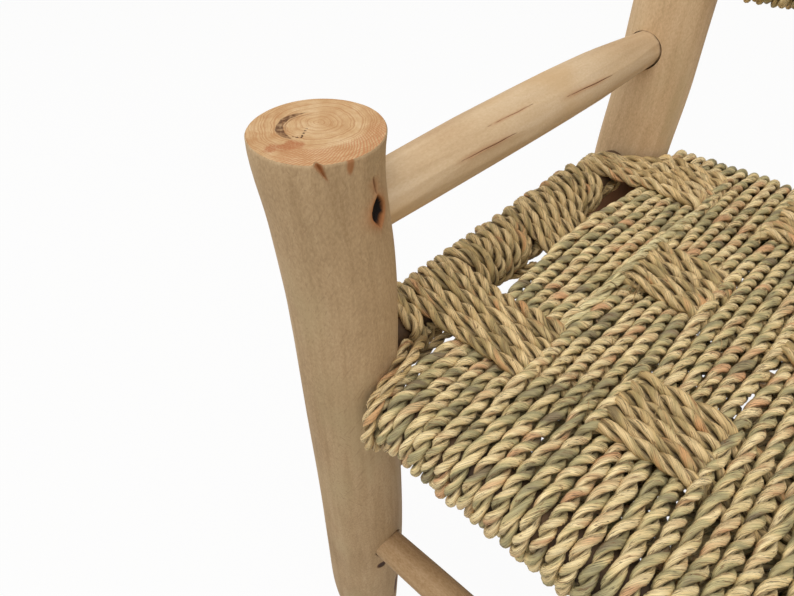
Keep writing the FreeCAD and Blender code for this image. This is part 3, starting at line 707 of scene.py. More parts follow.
def pale_rope():
    """A paler and straighter rope drawn in beside the first group, over the ends of the middle band."""
    points = (
        (107, 128, -13), (107, 141, -4), (108, 175, -1), (109, 203, 0), (109.5, 217, 4), (109.5, 243, 5),
        (110, 270, 4), (111, 285, 0), (112, 338, -1), (113, 352, -4), (113, 365, -13),
    )
    places = [(x * MM - SIDE_X, FRONT_Y + y * MM, SEAT_TOP_Z + z * MM) for x, y, z in points]
    line = swayed(rounded(places), STRAND_SWAY)
    rope_piece("seat_pale_rope", [line], PALE_PALM, 44 * MM, "warp_rope", (), 88, Diameter=1.12 * ROPE)


SHREDS = 110
TAIL_SHREDS = 14
SHRED_STEPS = 8


def shreds():
    """Frayed bits of leaf on the seat: each starts between the ropes, and its tip stands off a little."""
    names = [f"seat_warp_rope_{k + 1}" for k in range(GROUPS)]
    names += [f"seat_weft_rope_{word}" for word in BAND_WORDS] + ["seat_pale_rope"]
    targets = [ray_target(bpy.data.objects[name].data) for name in names]

    def surface_height(x, y):
        hits = [target.ray_cast(Vector((x, y, 1.0)), Vector((0, 0, -1)))[0] for target in targets]
        heights = [hit.z for hit in hits if hit is not None]
        return max(heights) if heights else TOP_Z

    starts = []
    left, right = WARP_GROUPS[0][0] + ROPE, WARP_GROUPS[-1][1] - ROPE
    for _ in range(SHREDS):
        place = (rng.uniform(left, right), rng.uniform(FRONT_Y, BANDS[2][1]))
        starts.append((place, rng.normal(math.pi / 2, 0.7), rng.uniform(9, 22) * MM))
    for _ in range(TAIL_SHREDS):
        # One tail of the middle band has come undone
        place = (-SIDE_X + rng.uniform(121, 129) * MM, FRONT_Y + rng.uniform(217, 232) * MM)
        starts.append((place, rng.normal(-118 * DEGREE, 0.4), rng.uniform(16, 32) * MM))
    lines = []
    for (x, y), heading, length in starts:
        bend = rng.normal(0, 25)
        heading += math.pi * rng.integers(0, 2) if length < 12 * MM else 0
        lift = rng.uniform(0.3, 2.5) * MM
        points = []
        for share in np.linspace(0, 1, SHRED_STEPS + 1):
            height = surface_height(x, y) + 0.2 * MM + lift * share**2 - 1.2 * MM * (share == 0)
            points.append((x, y, height))
            heading += bend * length / SHRED_STEPS
            x += math.cos(heading) * length / SHRED_STEPS
            y += math.sin(heading) * length / SHRED_STEPS
        lines.append(rounded(points, stiffness=3 * MM))
    sizes = {"Diameter": 1.1 * MM, "Step": 1.4 * MM, "Sides": 4, "Unevenness": 0.15 * MM}
    rope_piece("seat_leaf_shreds", lines, WEFT_PALM, 60 * MM, "weft_rope", (), 77, **sizes)


# The backrest's rope

BACK_BANDS = [span(f"back_weft_{word}", Z) for word in ("lower", "upper")]
BACK_GROUPS = [span(f"back_warp_rear_{k + 1}", X) for k in range(GROUPS)]
BACK_ROPES = 5
POST_TURN = width("back_weft_turns_left", X) / 2 - ROPE / 2


def back_warp_line(group):
    """One unbroken rope wound round both backrest rails, its front runs woven with the bands."""
    left, right = BACK_GROUPS[group]
    centre = (left + right) / 2
    pitch = (right - left - ROPE) / (BACK_ROPES - 1)
    points = []
    for rope in range(BACK_ROPES):
        x = centre + (rope - (BACK_ROPES - 1) / 2) * pitch
        y = bow_y(x)
        if rope == 0:
            points.append((x, y + TURN, (BACK_LOW_Z + BACK_HIGH_Z) / 2))
        points += [(x, at, z) for at, z in arc((y, BACK_LOW_Z), 0, -180)]
        for band, (low, high) in enumerate(BACK_BANDS):
            level = SINK if weft_is_over(group, band) else -SINK
            for z, depth in (
                (low - RAMP, 0),
                (low, level),
                (high, level),
                (high + RAMP if band else (high + BACK_BANDS[1][0]) / 2, 0),
            ):
                points.append((x, y - TURN + depth, z))
        points += [(x, at, z) for at, z in arc((y, BACK_HIGH_Z), 180, 0)]
    points.append((points[-1][0], bow_y(centre) + TURN, (BACK_LOW_Z + BACK_HIGH_Z) / 2))
    return rounded(points)


def back_warps():
    turns = ("back_warp_turns_lower", "back_warp_turns_upper")
    for group in range(GROUPS):
        nodes = (f"back_warp_front_{group + 1}", f"back_warp_rear_{group + 1}") + turns
        line = swayed(back_warp_line(group), BAND_SWAY)
        rope_piece(f"back_warp_rope_{group + 1}", [line], WARP_PALM, WARP_LAY, "warp_rope", nodes, 40 + group)


def back_weft_line(band, z):
    """A backrest weft rope: round the back of one rear post, across the front, round the other."""
    half = [(x, y, z) for x, y in arc((-SIDE_X, REAR_Y), 0, 270, POST_TURN)]
    across = []
    for group, (left, right) in enumerate(BACK_GROUPS):
        depth = -OVER if weft_is_over(group, band) else OVER
        for x in (left + 0.25 * ROPE, right - 0.25 * ROPE):
            across.append((x, bow_y(x) - TURN + depth, z))
    other = [(-x, y, z) for x, y, z in reversed(half)]
    return rounded(half + across + other)


def back_wefts():
    ropes = 4
    turns = ("back_weft_turns_left", "back_weft_turns_right")
    for band, word in enumerate(("lower", "upper")):
        low, high = BACK_BANDS[band]
        pitch = (high - low - ROPE) / (ropes - 1)
        lines = [swayed(back_weft_line(band, low + ROPE / 2 + k * pitch), BAND_SWAY) for k in range(ropes)]
        nodes = (f"back_weft_{word}",) + turns
        rope_piece(f"back_weft_rope_{word}", lines, WEFT_PALM, BAND_LAY, "weft_rope", nodes, 50 + band, Z)


seat_warps()
seat_wefts()
seat_windings()
pale_rope()
shreds()
back_warps()
back_wefts()


# Poles: each is measured on its solid and made again with knife marks, splits and sawn ends


def fitted_circle(points):
    """Centre and radius of the circle through most of these points; those in a bore are left out."""
    kept = points
    for _ in range(3):
        fit = np.linalg.lstsq(np.c_[2 * kept, np.ones(len(kept))], (kept**2).sum(axis=1), rcond=None)[0]
        centre = fit[:2]
        radius = math.sqrt(fit[2] + centre @ centre)
        miss = np.abs(np.linalg.norm(points - centre, axis=1) - radius)
        kept = points[miss <= 2 * np.median(miss) + 0.05 * MM]
    return centre, radius


def measured(node, axis, places):
    """Centre line and radius of a round pole at these places along its axis."""
    solid = ray_target(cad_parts[node].data)
    first, second = other_axes(axis)
    centre = np.array([middle(node, first), middle(node, second)])
    reach = max(width(node, first), width(node, second))
    centres, radii = [], []
    for place in places:
        for _ in range(2):
            hits = []
            for angle in np.linspace(0, 2 * math.pi, 24, endpoint=False):
                outward = Vector((0, 0, 0))
                outward[first], outward[second] = math.cos(angle), math.sin(angle)
                start = outward * reach
                start[axis] = place
                start[first] += centre[0]
                start[second] += centre[1]
                hit = solid.ray_cast(start, -outward)[0]
                if hit is not None:
                    hits.append([hit[first], hit[second]])
            centre, radius = fitted_circle(np.array(hits))
        centres.append(centre)
        radii.append(radius)
    return np.array(centres), np.array(radii)


def dense(low, high, step, spots=()):
    """Places from low to high a step apart, and closer round each spot: (place, reach, step)."""
    fine = np.linspace(low, high, 4000)
    density = np.full(fine.shape, 1 / step)
    for place, reach, close in spots:
        density += (1 / close - 1 / step) * np.exp(-(((fine - place) / reach) ** 4))
    total = np.concatenate([[0], np.cumsum((density[1:] + density[:-1]) / 2 * np.diff(fine))])
    return np.interp(np.linspace(0, total[-1], int(total[-1]) + 2), total, fine)


def nearest_turn(angle):
    """The same angle between minus and plus half a turn."""
    return (angle + math.pi) % (2 * math.pi) - math.pi


def knife_strokes(places, angles, radius, strokes, depth, length):
    """How deep flat strokes of a knife go at every place and angle; each fades out at its ends."""
    relief = np.zeros(np.broadcast(places, angles).shape)
    for _ in range(strokes):
        middle_angle = rng.uniform(0, 2 * math.pi)
        middle_place = rng.uniform(places.min(), places.max())
        deep = depth * rng.uniform(0.4, 1)
        half_length = length * rng.uniform(0.5, 1)
        skew = rng.normal(0, 0.8)
        side = nearest_turn(angles - middle_angle - skew * (places - middle_place))
        flat = deep - radius * (1 - np.cos(side)) - deep * ((places - middle_place) / half_length) ** 2
        relief = np.maximum(relief, flat)
    return relief


def swellings(places, angles, size):
    """Slow lumps of a grown branch."""
    relief = 0
    for order in (2, 3, 5):
        for _ in range(3):
            wave = rng.uniform(-25, 25)
            turn = rng.uniform(0, 2 * math.pi)
            relief = relief + rng.normal(0, 1 / order) * np.cos(order * angles + turn + wave * places)
    return size * relief


POLE_STEP = 4 * MM
SHARP_EDGE = 38 * DEGREE
HOLE_SIDES = 48
# How far out the rings of corners on a sawn end lie, from the rim to the middle
CAP_SHARES = [0.985, 0.95] + [k / 12 for k in range(10, 0, -1)]


def peeled_pole(node, axis, slot, materials, number, strokes, sides=84, **looks):
    """A closed mesh for one pole: its lumps, knife strokes, and its marks, which are functions."""
    low, high = span(node, axis)
    inset = 0.8 * MM
    coarse = np.linspace(low + inset, high - inset, max(12, int((high - low) / (8 * MM))))
    centres, radii = measured(node, axis, coarse)
    places = dense(low, high, POLE_STEP, looks.get("fine_along", ()))
    radius = np.interp(places, coarse, radii)
    mean = radius.mean()
    turns = dense(-math.pi, math.pi, 2 * math.pi / sides, looks.get("fine_around", ()))[:-1]
    along, angles = places[:, None], turns[None, :]
    relief = swellings(along, angles, looks.get("lumps", 0.3 * MM))
    relief = relief - knife_strokes(along, angles, mean, *strokes)
    marks = np.zeros(relief.shape + (3,))
    for mark in looks.get("marks", ()):
        depth, colour = mark(along, angles, mean)
        relief = relief - depth
        marks = np.maximum(marks, colour)
    # A narrow bevel at both sawn ends
    edge = np.minimum(places - low, high - places)
    bevel = 0.7 * MM * np.clip(1 - edge / (0.9 * MM), 0, 1)
    size = (radius - bevel)[:, None] + relief
    centre = read_off(places, coarse, centres)
    for from_place, to_place, shift in looks.get("sway", ()):
        share = np.clip((places - from_place) / (to_place - from_place), 0, 1)
        centre[:, 0] += shift * share * share * (3 - 2 * share)
    local = np.stack([size * np.cos(angles), size * np.sin(angles)], axis=-1)

    # Rings of corners: the lower sawn face from its middle outwards, the side, and the upper face
    caps = len(CAP_SHARES)
    rings = [0] * caps + list(range(len(places))) + [-1] * caps
    shares = np.array(CAP_SHARES[::-1] + [1] * len(places) + CAP_SHARES)[:, None, None]
    level = np.repeat(places[rings], len(turns)).reshape(len(rings), -1, 1)
    flat = local[rings] * shares
    corners = np.zeros(flat.shape[:2] + (3,))
    corners[..., [axis]] = level
    corners[..., other_axes(axis)] = flat + centre[rings][:, None]
    skin = np.concatenate([flat, level + number], axis=2)
    colours = np.where(shares < 1, 0, marks[rings])
    # Last come the middles of both sawn ends
    hubs = np.zeros((2, 3))
    hubs[:, axis] = low, high
    hubs[:, other_axes(axis)] = centre[[0, -1]]
    corners = np.concatenate([corners.reshape(-1, 3), hubs]).tolist()
    skin = np.concatenate([skin.reshape(-1, 3), [(0, 0, low + number), (0, 0, high + number)]])
    colours = np.concatenate([colours.reshape(-1, 3), np.zeros((2, 3))])
    count, last = len(turns), len(rings) - 1

    def edges(ring):
        return [(ring * count + side, ring * count + (side + 1) % count) for side in range(count)]

    faces = [(a, b, b + count, a + count) for ring in range(last) for a, b in edges(ring)]
    hub = len(rings) * count
    faces += [(hub, b, a) for a, b in edges(0)] + [(hub + 1, a, b) for a, b in edges(last)]
    kinds = np.repeat([1] * caps + [0] * (last - 2 * caps) + [1] * (caps + 2), count).tolist()
    if axis == Y:
        faces = [face[::-1] for face in faces]
    mesh = bpy.data.meshes.new(node + "_wood")
    mesh.from_pydata(corners, [], faces)
    mesh.polygons.foreach_set("material_index", kinds)
    store(mesh, "skin", skin)
    store(mesh, "mark", colours)
    for material in materials:
        mesh.materials.append(material)
    piece = placed(node + "_wood", mesh)
    if "bores" in looks:
        for hole in looks["bores"]:
            bored(piece, *hole)
        # The boolean drops these values, so every corner takes them from the nearest old one
        tree = KDTree(len(corners))
        for index, corner in enumerate(corners):
            tree.insert(corner, index)
        tree.balance()
        nearest = [tree.find(vertex.co)[1] for vertex in piece.data.vertices]
        store(piece.data, "skin", skin[nearest])
        store(piece.data, "mark", colours[nearest])
    piece.data.polygons.foreach_set("use_smooth", [True] * len(piece.data.polygons))
    piece.data.set_sharp_from_angle(angle=SHARP_EDGE)
    return seated(piece, (node,))


def bored(piece, bottom, outward, radius, depth):
    """Cuts a blind round hole into a pole: bottom is the middle of its floor."""
    outward = Vector(outward).normalized()
    side = outward.orthogonal().normalized()
    other = outward.cross(side)
    turns = np.linspace(0, 2 * math.pi, HOLE_SIDES, endpoint=False)
    floor = [Vector(bottom) + (side * math.cos(a) + other * math.sin(a)) * radius for a in turns]
    mouth = [corner + outward * depth for corner in floor]
    loop = [(k, (k + 1) % HOLE_SIDES) for k in range(HOLE_SIDES)]
    faces = [(a, b, b + HOLE_SIDES, a + HOLE_SIDES) for a, b in loop]
    faces += [tuple(range(HOLE_SIDES))[::-1], tuple(range(HOLE_SIDES, 2 * HOLE_SIDES))]
    mesh = bpy.data.meshes.new("drill")
    mesh.from_pydata(floor + mouth, [], faces)
    drill = placed("drill", mesh)
    cut = piece.modifiers.new("bore", "BOOLEAN")
    cut.operation = "DIFFERENCE"
    cut.solver = "EXACT"
    cut.object = drill
    result = evaluated_mesh(piece)
    piece.modifiers.clear()
    piece.data = result
    bpy.data.objects.remove(drill)

def store(mesh, label, values):
    """Keeps one vector a vertex under a name that the materials read."""
    layer = mesh.attributes.get(label) or mesh.attributes.new(label, "FLOAT_VECTOR", "POINT")
    layer.data.foreach_set("vector", np.array(values, float).ravel())


def knot_mark(place, turn, half_width, half_height, depth):
    """An almond-shaped hole where a twig was, with shade painted dark inside it, and a swollen and stained
    rim.
    """

    def mark(places, angles, radius):
        arc = np.abs(radius * nearest_turn(angles - turn)) / half_width
        rise = (places - place) / half_height
        q = arc + rise**2
        hole = np.clip((1.0 - q) / 0.35, 0, 1)
        rim = np.exp(-(((q - 1.25) / 0.35) ** 2)) * (np.abs(rise) < 1.6)
        stain = np.exp(-np.clip(q - 0.9, 0, None) * 1.6)
        resin = np.clip((-rise - 0.35) / 0.15, 0, 1)
        # Painted shade: X darkens the inside of the hole, which is too shallow to shade itself
        colour = np.stack([np.clip(hole * 3 - resin, 0, 1), stain, 0.8 * resin * hole], axis=-1)
        return depth * hole - 0.5 * MM * rim, colour

    return mark


def split_mark(start, end, half_width, depth, waver=0.0):
    """A split that follows a line of (place, angle) from start to end and narrows at both ends."""

    def mark(places, angles, radius):
        share = np.clip((places - start[0]) / (end[0] - start[0]), 0, 1) + 0 * angles
        turn = start[1] + (end[1] - start[1]) * share + waver * (np.sin(share * 7) + 0.5 * np.sin(share * 17))
        within = (places - start[0]) * (places - end[0]) <= 0
        # One end is hair-thin, and the split opens towards the other
        wide = half_width * np.sin(math.pi * np.clip(share, 0.01, 0.99) ** 1.8) ** 0.7
        arc = np.abs(radius * nearest_turn(angles - turn))
        line = np.clip(1 - arc / np.maximum(wide, 1e-6), 0, 1) * within
        fade = np.clip(4 * share, 0, 1) * np.clip(4 - 4 * share, 0, 1)
        near = np.exp(-((arc / (3.5 * half_width)) ** 2)) * within * fade
        return depth * line, np.stack([0.4 * line, 0.45 * near, line], axis=-1)

    return mark


def shaved(place, turn, half_height, depth):
    """A broad shallow hollow pared off one side."""

    def mark(places, angles, radius):
        across = np.clip(np.cos(angles - turn), 0, 1)
        hollow = depth * across * np.exp(-(((places - place) / half_height) ** 2))
        return hollow, np.zeros(hollow.shape + (3,))

    return mark


def stain_and_shade_patch(place, turn, half_height, half_width, darkened=0.0):
    """A patch on one side with an uneven edge: resin brown, and darkened towards black as much as the last
    argument says.
    """

    def mark(places, angles, radius):
        aside = nearest_turn(angles - turn) / half_width
        down = (places - place) / half_height
        ragged = 0.08 * np.sin(9 * angles + 2) + 0.06 * np.sin(23 * angles) + 0.06 * np.sin(places * 330)
        patch = np.clip((1 + ragged - np.hypot(down, aside)) / 0.35, 0, 1)
        return 0 * patch, np.stack([darkened * patch, 0.75 * patch, darkened * patch], axis=-1)

    return mark


def chipped_rim(turn, reach, depth, height, top):
    """A V-shaped chip in a sawn rim, steep on one side, whose split runs down and sideways."""

    def mark(places, angles, radius):
        down = np.clip((top - places) / height, 0, 1.01)
        share = (nearest_turn(angles - turn) / reach) - 1.4 * down
        notch = np.where(share < 0.25, share / 0.25, (1 - share) / 0.75)
        chip = np.clip(notch - down, 0, 1)
        colour = np.clip(chip * 2.2, 0, 1) * (down > 0.05)
        return depth * chip, np.stack([0.25 * colour, colour, 0 * colour], axis=-1)

    return mark


FULL_SPECKLE = 0.32
FIBRES = (150.0, 150.0, 9.0)
# Dry open-pored wood throws back little light
DRY = {"Specular_IOR_Level": 0.2}


def slanted(tree, place, *angles):
    """A place turned about X, Y and Z, in degrees, for strokes that run at a slant."""
    turn = [angle * DEGREE for angle in angles]
    return add(tree, "ShaderNodeVectorRotate", place, Rotation=turn, rotation_type="EULER_XYZ")


def peeled_wood(name, pale, middle_tone, dark, tint, scratch=0.5, fibre_scale=FIBRES, fine=FULL_SPECKLE):
    """Peeled pole wood, sanded by hand: faint grain, slanting knife scratches, blotches; matt.

    scratch and fine are the strength of the scratches and of the speckle.
    """
    material, tree = new_material(name)
    skin = add(tree, "ShaderNodeAttribute", attribute_name="skin").node.outputs["Vector"]
    fibres = grain(tree, skin, fibre_scale, Detail=4.0, Roughness=0.6, Distortion=0.4)
    clouds = grain(tree, skin, (16.0, 16.0, 7.0), Detail=3.0, Roughness=0.55)
    flecked = add(tree, "ShaderNodeMapping", skin, Scale=(1.0, 1.0, 0.5))
    speckle = add(tree, "ShaderNodeTexNoise", flecked, Scale=700.0, Roughness=0.6)
    tone = weighted(tree, (fibres, 0.26), (clouds, 0.42), (speckle, fine))
    # Half of the speckle that is left out keeps the mean tone where it was
    tone = add(tree, "ShaderNodeMath", tone, 0.5 * (FULL_SPECKLE - fine), operation="ADD")
    colour = ramp(tree, tone, ((0.36, dark), (0.5, middle_tone), (0.64, pale)))
    blotches = grain(tree, skin, (22.0, 22.0, 9.0), (3.1, 1.7, 0.4))
    blotches = add(tree, "ShaderNodeMapRange", blotches, 0.5, 0.72, 0.0, 0.6, **SMOOTH)
    scratches = grain(tree, slanted(tree, skin, 26, -18, 30), (900.0, 700.0, 42.0))
    scratches = add(tree, "ShaderNodeMapRange", scratches, 0.6, 0.68, 0.0, scratch, **SMOOTH)
    # Short ticks of the knife, across the other slant, in some places only
    crossed = slanted(tree, skin, -38, 31, 12)
    ticks = grain(tree, crossed, (850.0, 850.0, 90.0), (2.0, 5.0, 1.0), Detail=1.0)
    ticks = add(tree, "ShaderNodeMapRange", ticks, 0.62, 0.7, 0.0, 1.6 * scratch, **SMOOTH)
    some = grain(tree, skin, (30.0, 30.0, 16.0), (9.0, 2.0, 4.0))
    some = add(tree, "ShaderNodeMapRange", some, 0.5, 0.62, **SMOOTH)
    ticks = add(tree, "ShaderNodeMath", ticks, some, operation="MULTIPLY")
    # A mark's colours: Y is stain, Z resin or the inside of a split, X near-black, which paints shade inside
    # a hole and on shaded patches
    mark = add(tree, "ShaderNodeAttribute", attribute_name="mark").node.outputs["Vector"]
    mark = add(tree, "ShaderNodeSeparateXYZ", mark).node.outputs
    resin = weighted(tree, (mark["Z"], 0.85))
    colour = layered(tree, colour, (blotches, tint), (scratches, dark), (ticks, dark))
    # The last, near-black layer is painted shade
    colour = layered(tree, colour, (mark["Y"], "a5683a"), (resin, "74431f"), (mark["X"], "120904"))
    roughness = add(tree, "ShaderNodeMapRange", fibres, 0.3, 0.7, 0.75, 0.62, **SMOOTH)
    height = weighted(tree, (fibres, 0.5), (clouds, 0.6), (scratches, -0.5), (ticks, -0.4))
    surface(tree, colour, roughness, height, distance=0.6 * MM, **DRY)
    return material


def line_distance(tree, flat, start, finish):
    """Distance from a straight line on the sawn face, whose ends are millimetres from the pith."""
    begin, end = (Vector((x * MM, y * MM, 0)) for x, y in (start, finish))
    run = end - begin
    from_start = add(tree, "ShaderNodeVectorMath", flat, begin, operation="SUBTRACT")
    share = add(tree, "ShaderNodeVectorMath", from_start, run, operation="DOT_PRODUCT")
    share = add(tree, "ShaderNodeMath", share, run.length_squared, operation="DIVIDE", use_clamp=True)
    along = add(tree, "ShaderNodeVectorMath", run, share, operation="SCALE")
    offset = add(tree, "ShaderNodeVectorMath", from_start, along, operation="SUBTRACT")
    return add(tree, "ShaderNodeVectorMath", offset, operation="LENGTH")


def saw_strokes(tree, flat, reach, bearing, clouds):
    """Slanting strokes of the saw on one side of the rim."""
    waver = add(tree, "ShaderNodeTexNoise", flat, Scale=110.0)
    slant = weighted(tree, (bearing, 105.0), (reach, 2600.0), (waver, 11.0))
    strokes = add(tree, "ShaderNodeMath", slant, operation="SINE")
    strokes = weighted(tree, (strokes, 1), (clouds, 1.4))
    strokes = add(tree, "ShaderNodeMapRange", strokes, 0.4, 1.2, **SMOOTH)
    strokes = add(tree, "ShaderNodeMapRange", strokes, 0.45, 0.58, **SMOOTH)
    rim = add(tree, "ShaderNodeMapRange", reach, 25 * MM, 33 * MM, **SMOOTH)
    side = window(tree, bearing, -1.1, 0.6, 0.35)
    rim = add(tree, "ShaderNodeMath", rim, side, operation="MULTIPLY")
    return add(tree, "ShaderNodeMath", strokes, rim, operation="MULTIPLY")


def end_grain():
    """Sawn end grain: wavering growth rings round an off-centre pith, a brown crescent, saw strokes."""
    material, tree = new_material("sawn_end_grain")
    skin = add(tree, "ShaderNodeAttribute", attribute_name="skin").node.outputs["Vector"]
    skin = add(tree, "ShaderNodeMapping", skin, Scale=(1.0, 1.0, 0.0), Location=(5.2 * MM, -6.0 * MM, 0.0))
    spot = add(tree, "ShaderNodeSeparateXYZ", skin).node.outputs
    flat = add(tree, "ShaderNodeCombineXYZ", spot["X"], spot["Y"], 0.0)
    reach = add(tree, "ShaderNodeVectorMath", flat, operation="LENGTH")
    bearing = add(tree, "ShaderNodeMath", spot["Y"], spot["X"], operation="ARCTAN2")
    wander = add(tree, "ShaderNodeTexNoise", flat, Scale=40.0, Detail=3.0, Roughness=0.6)
    rings = add(tree, "ShaderNodeCombineXYZ", weighted(tree, (reach, 1), (wander, 9 * MM)))
    rings = add(tree, "ShaderNodeTexNoise", rings, Scale=760.0, Roughness=0.7)
    rough = add(tree, "ShaderNodeTexNoise", flat, Scale=900.0)
    clouds = add(tree, "ShaderNodeTexNoise", flat, Scale=55.0, Detail=4.0, Roughness=0.65)
    colour = ramp(tree, clouds, ((0.34, "b68d62"), (0.5, "c6a378"), (0.66, "d3b68e")))
    late_wood = add(tree, "ShaderNodeMapRange", rings, 0.46, 0.6, 0.0, 0.6, **SMOOTH)
    pores = add(tree, "ShaderNodeMapRange", rough, 0.56, 0.72, 0.0, 0.35, **SMOOTH)
    colour = layered(tree, colour, (late_wood, "a9774c"), (pores, "a87c50"))

    # A dark crescent between two rings on the left, widest in its middle, and a thin arc inside it
    from_left = [weighted(tree, (spot[axis], -1.0)) for axis in ("Y", "X")]
    from_left = add(tree, "ShaderNodeMath", *from_left, operation="ARCTAN2")
    middle_line = add(tree, "ShaderNodeMapRange", from_left, -0.6, 1.35, 14.6 * MM, 22.6 * MM, **SMOOTH)
    wobble = add(tree, "ShaderNodeTexNoise", flat, Scale=160.0)
    wobble = add(tree, "ShaderNodeMath", wobble, 0.5, operation="SUBTRACT")
    aside = weighted(tree, (reach, 1), (wobble, 2.6 * MM))
    aside = add(tree, "ShaderNodeMath", aside, middle_line, operation="SUBTRACT")
    half_width = weighted(tree, (window(tree, from_left, 0.4, 1.2, 0.7), 2.3 * MM))
    crescent = add(tree, "ShaderNodeMath", aside, operation="ABSOLUTE")
    crescent = add(tree, "ShaderNodeMath", crescent, half_width, operation="SUBTRACT")
    crescent = add(tree, "ShaderNodeMapRange", crescent, -0.5 * MM, 0.4 * MM, 1.0, 0.0, **SMOOTH)
    patchy = add(tree, "ShaderNodeTexNoise", flat, Scale=330.0)
    patchy = add(tree, "ShaderNodeMapRange", patchy, 0.3, 0.6, 0.5, 1.0, **SMOOTH)
    for limit in (window(tree, from_left, -0.25, 1.65, 0.15), patchy):
        crescent = add(tree, "ShaderNodeMath", crescent, limit, operation="MULTIPLY")
    inner_arc = near(tree, aside, -3.4 * MM, 0.15 * MM, 0.6 * MM)
    side = window(tree, from_left, -0.1, 1.0, 0.4)
    inner_arc = add(tree, "ShaderNodeMath", inner_arc, side, operation="MULTIPLY")
    crescent, inner_arc = weighted(tree, (crescent, 0.9)), weighted(tree, (inner_arc, 0.6))
    colour = layered(tree, colour, (crescent, "54331f"), (inner_arc, "7c5233"))

    # A crack from the heart that breaks up into dots
    runs = (((0.5, -8.9), (6.1, -17.4)), ((6.1, -17.4), (2.0, -20.6)))
    crack = [line_distance(tree, flat, *run) for run in runs]
    crack = add(tree, "ShaderNodeMath", *crack, operation="MINIMUM")
    crack = add(tree, "ShaderNodeMapRange", crack, 0.4 * MM, 0.8 * MM, 1.0, 0.0, **SMOOTH)
    dots = add(tree, "ShaderNodeTexNoise", flat, Scale=520.0)
    dots = add(tree, "ShaderNodeMapRange", dots, 0.44, 0.52, **SMOOTH)
    crack = add(tree, "ShaderNodeMath", crack, dots, operation="MULTIPLY")
    # A reddish smear near the front rim
    smear = line_distance(tree, flat, (4.0, -35.0), (10.5, -23.0))
    ragged = add(tree, "ShaderNodeTexNoise", flat, Scale=130.0, Detail=3.0)
    smear = weighted(tree, (smear, 1), (ragged, 12 * MM))
    smear = add(tree, "ShaderNodeMapRange", smear, 8 * MM, 12 * MM, 0.8, 0.0, **SMOOTH)
    worn = add(tree, "ShaderNodeMapRange", rough, 0.35, 0.6, 0.6, 1.0, **SMOOTH)
    smear = add(tree, "ShaderNodeMath", smear, worn, operation="MULTIPLY")
    strokes = saw_strokes(tree, flat, reach, bearing, clouds)
    brown = weighted(tree, (strokes, 0.65))
    colour = layered(tree, colour, (crack, "3a2114"), (smear, "a2623c"), (brown, "b5764f"))
    height = weighted(tree, (rings, 0.5), (rough, 0.6), (strokes, -0.6))
    surface(tree, colour, 0.85, height, **DRY)
    return material


POST_WOOD = peeled_wood("peeled_post_wood", "c4aa86", "b39773", "9c815f", "b5a07a")
REAR_WOOD = peeled_wood("peeled_rear_post_wood", "ddc19b", "cdae87", "b5966f", "c3ad85", 0.25)
ARM_WOOD = peeled_wood(
    "whittled_arm_wood", "dcc6a7", "cbb08c", "b5946e", "c6a273", 0.15, (60.0, 60.0, 3.0), 0.14
)
STICK_WOOD = peeled_wood("peeled_stretcher_wood", "b99c78", "a78863", "8d6e4c", "a87f55", 0.15)
END_GRAIN = end_grain()

POSTS = ("front_left", "front_right", "rear_left", "rear_right")
GAP = 1.0 * MM
STICK_SET = 22 * MM
FINE = 0.8 * MM
# The left armrest's cracks: both ends as (millimetres from the front, degrees), and half the width
ARM_CRACKS = (
    ((93, 21.5), (165, 15.2), 0.62),
    ((135, 52.8), (192, 49.2), 0.35),
    ((221, 29.5), (305, 21.5), 0.62),
)


def joint(stick, axis, inward):
    """A hole for a stick's end, a little wider than the stick and out of line with it."""
    low, high = span(stick, axis)
    bottom = low if inward < 0 else high
    centre, radius = measured(stick, axis, [bottom - inward * STICK_SET])
    floor, outward = [0, 0, 0], [0, 0, 0]
    first, second = other_axes(axis)
    floor[axis] = bottom + inward * 0.5 * MM
    floor[first] = centre[0][0] + rng.uniform(0.2, 0.7) * MM
    floor[second] = centre[0][1] - rng.uniform(0.3, 0.8) * MM
    outward[axis] = -inward
    return tuple(floor), tuple(outward), radius[0] + GAP, 3 * STICK_SET


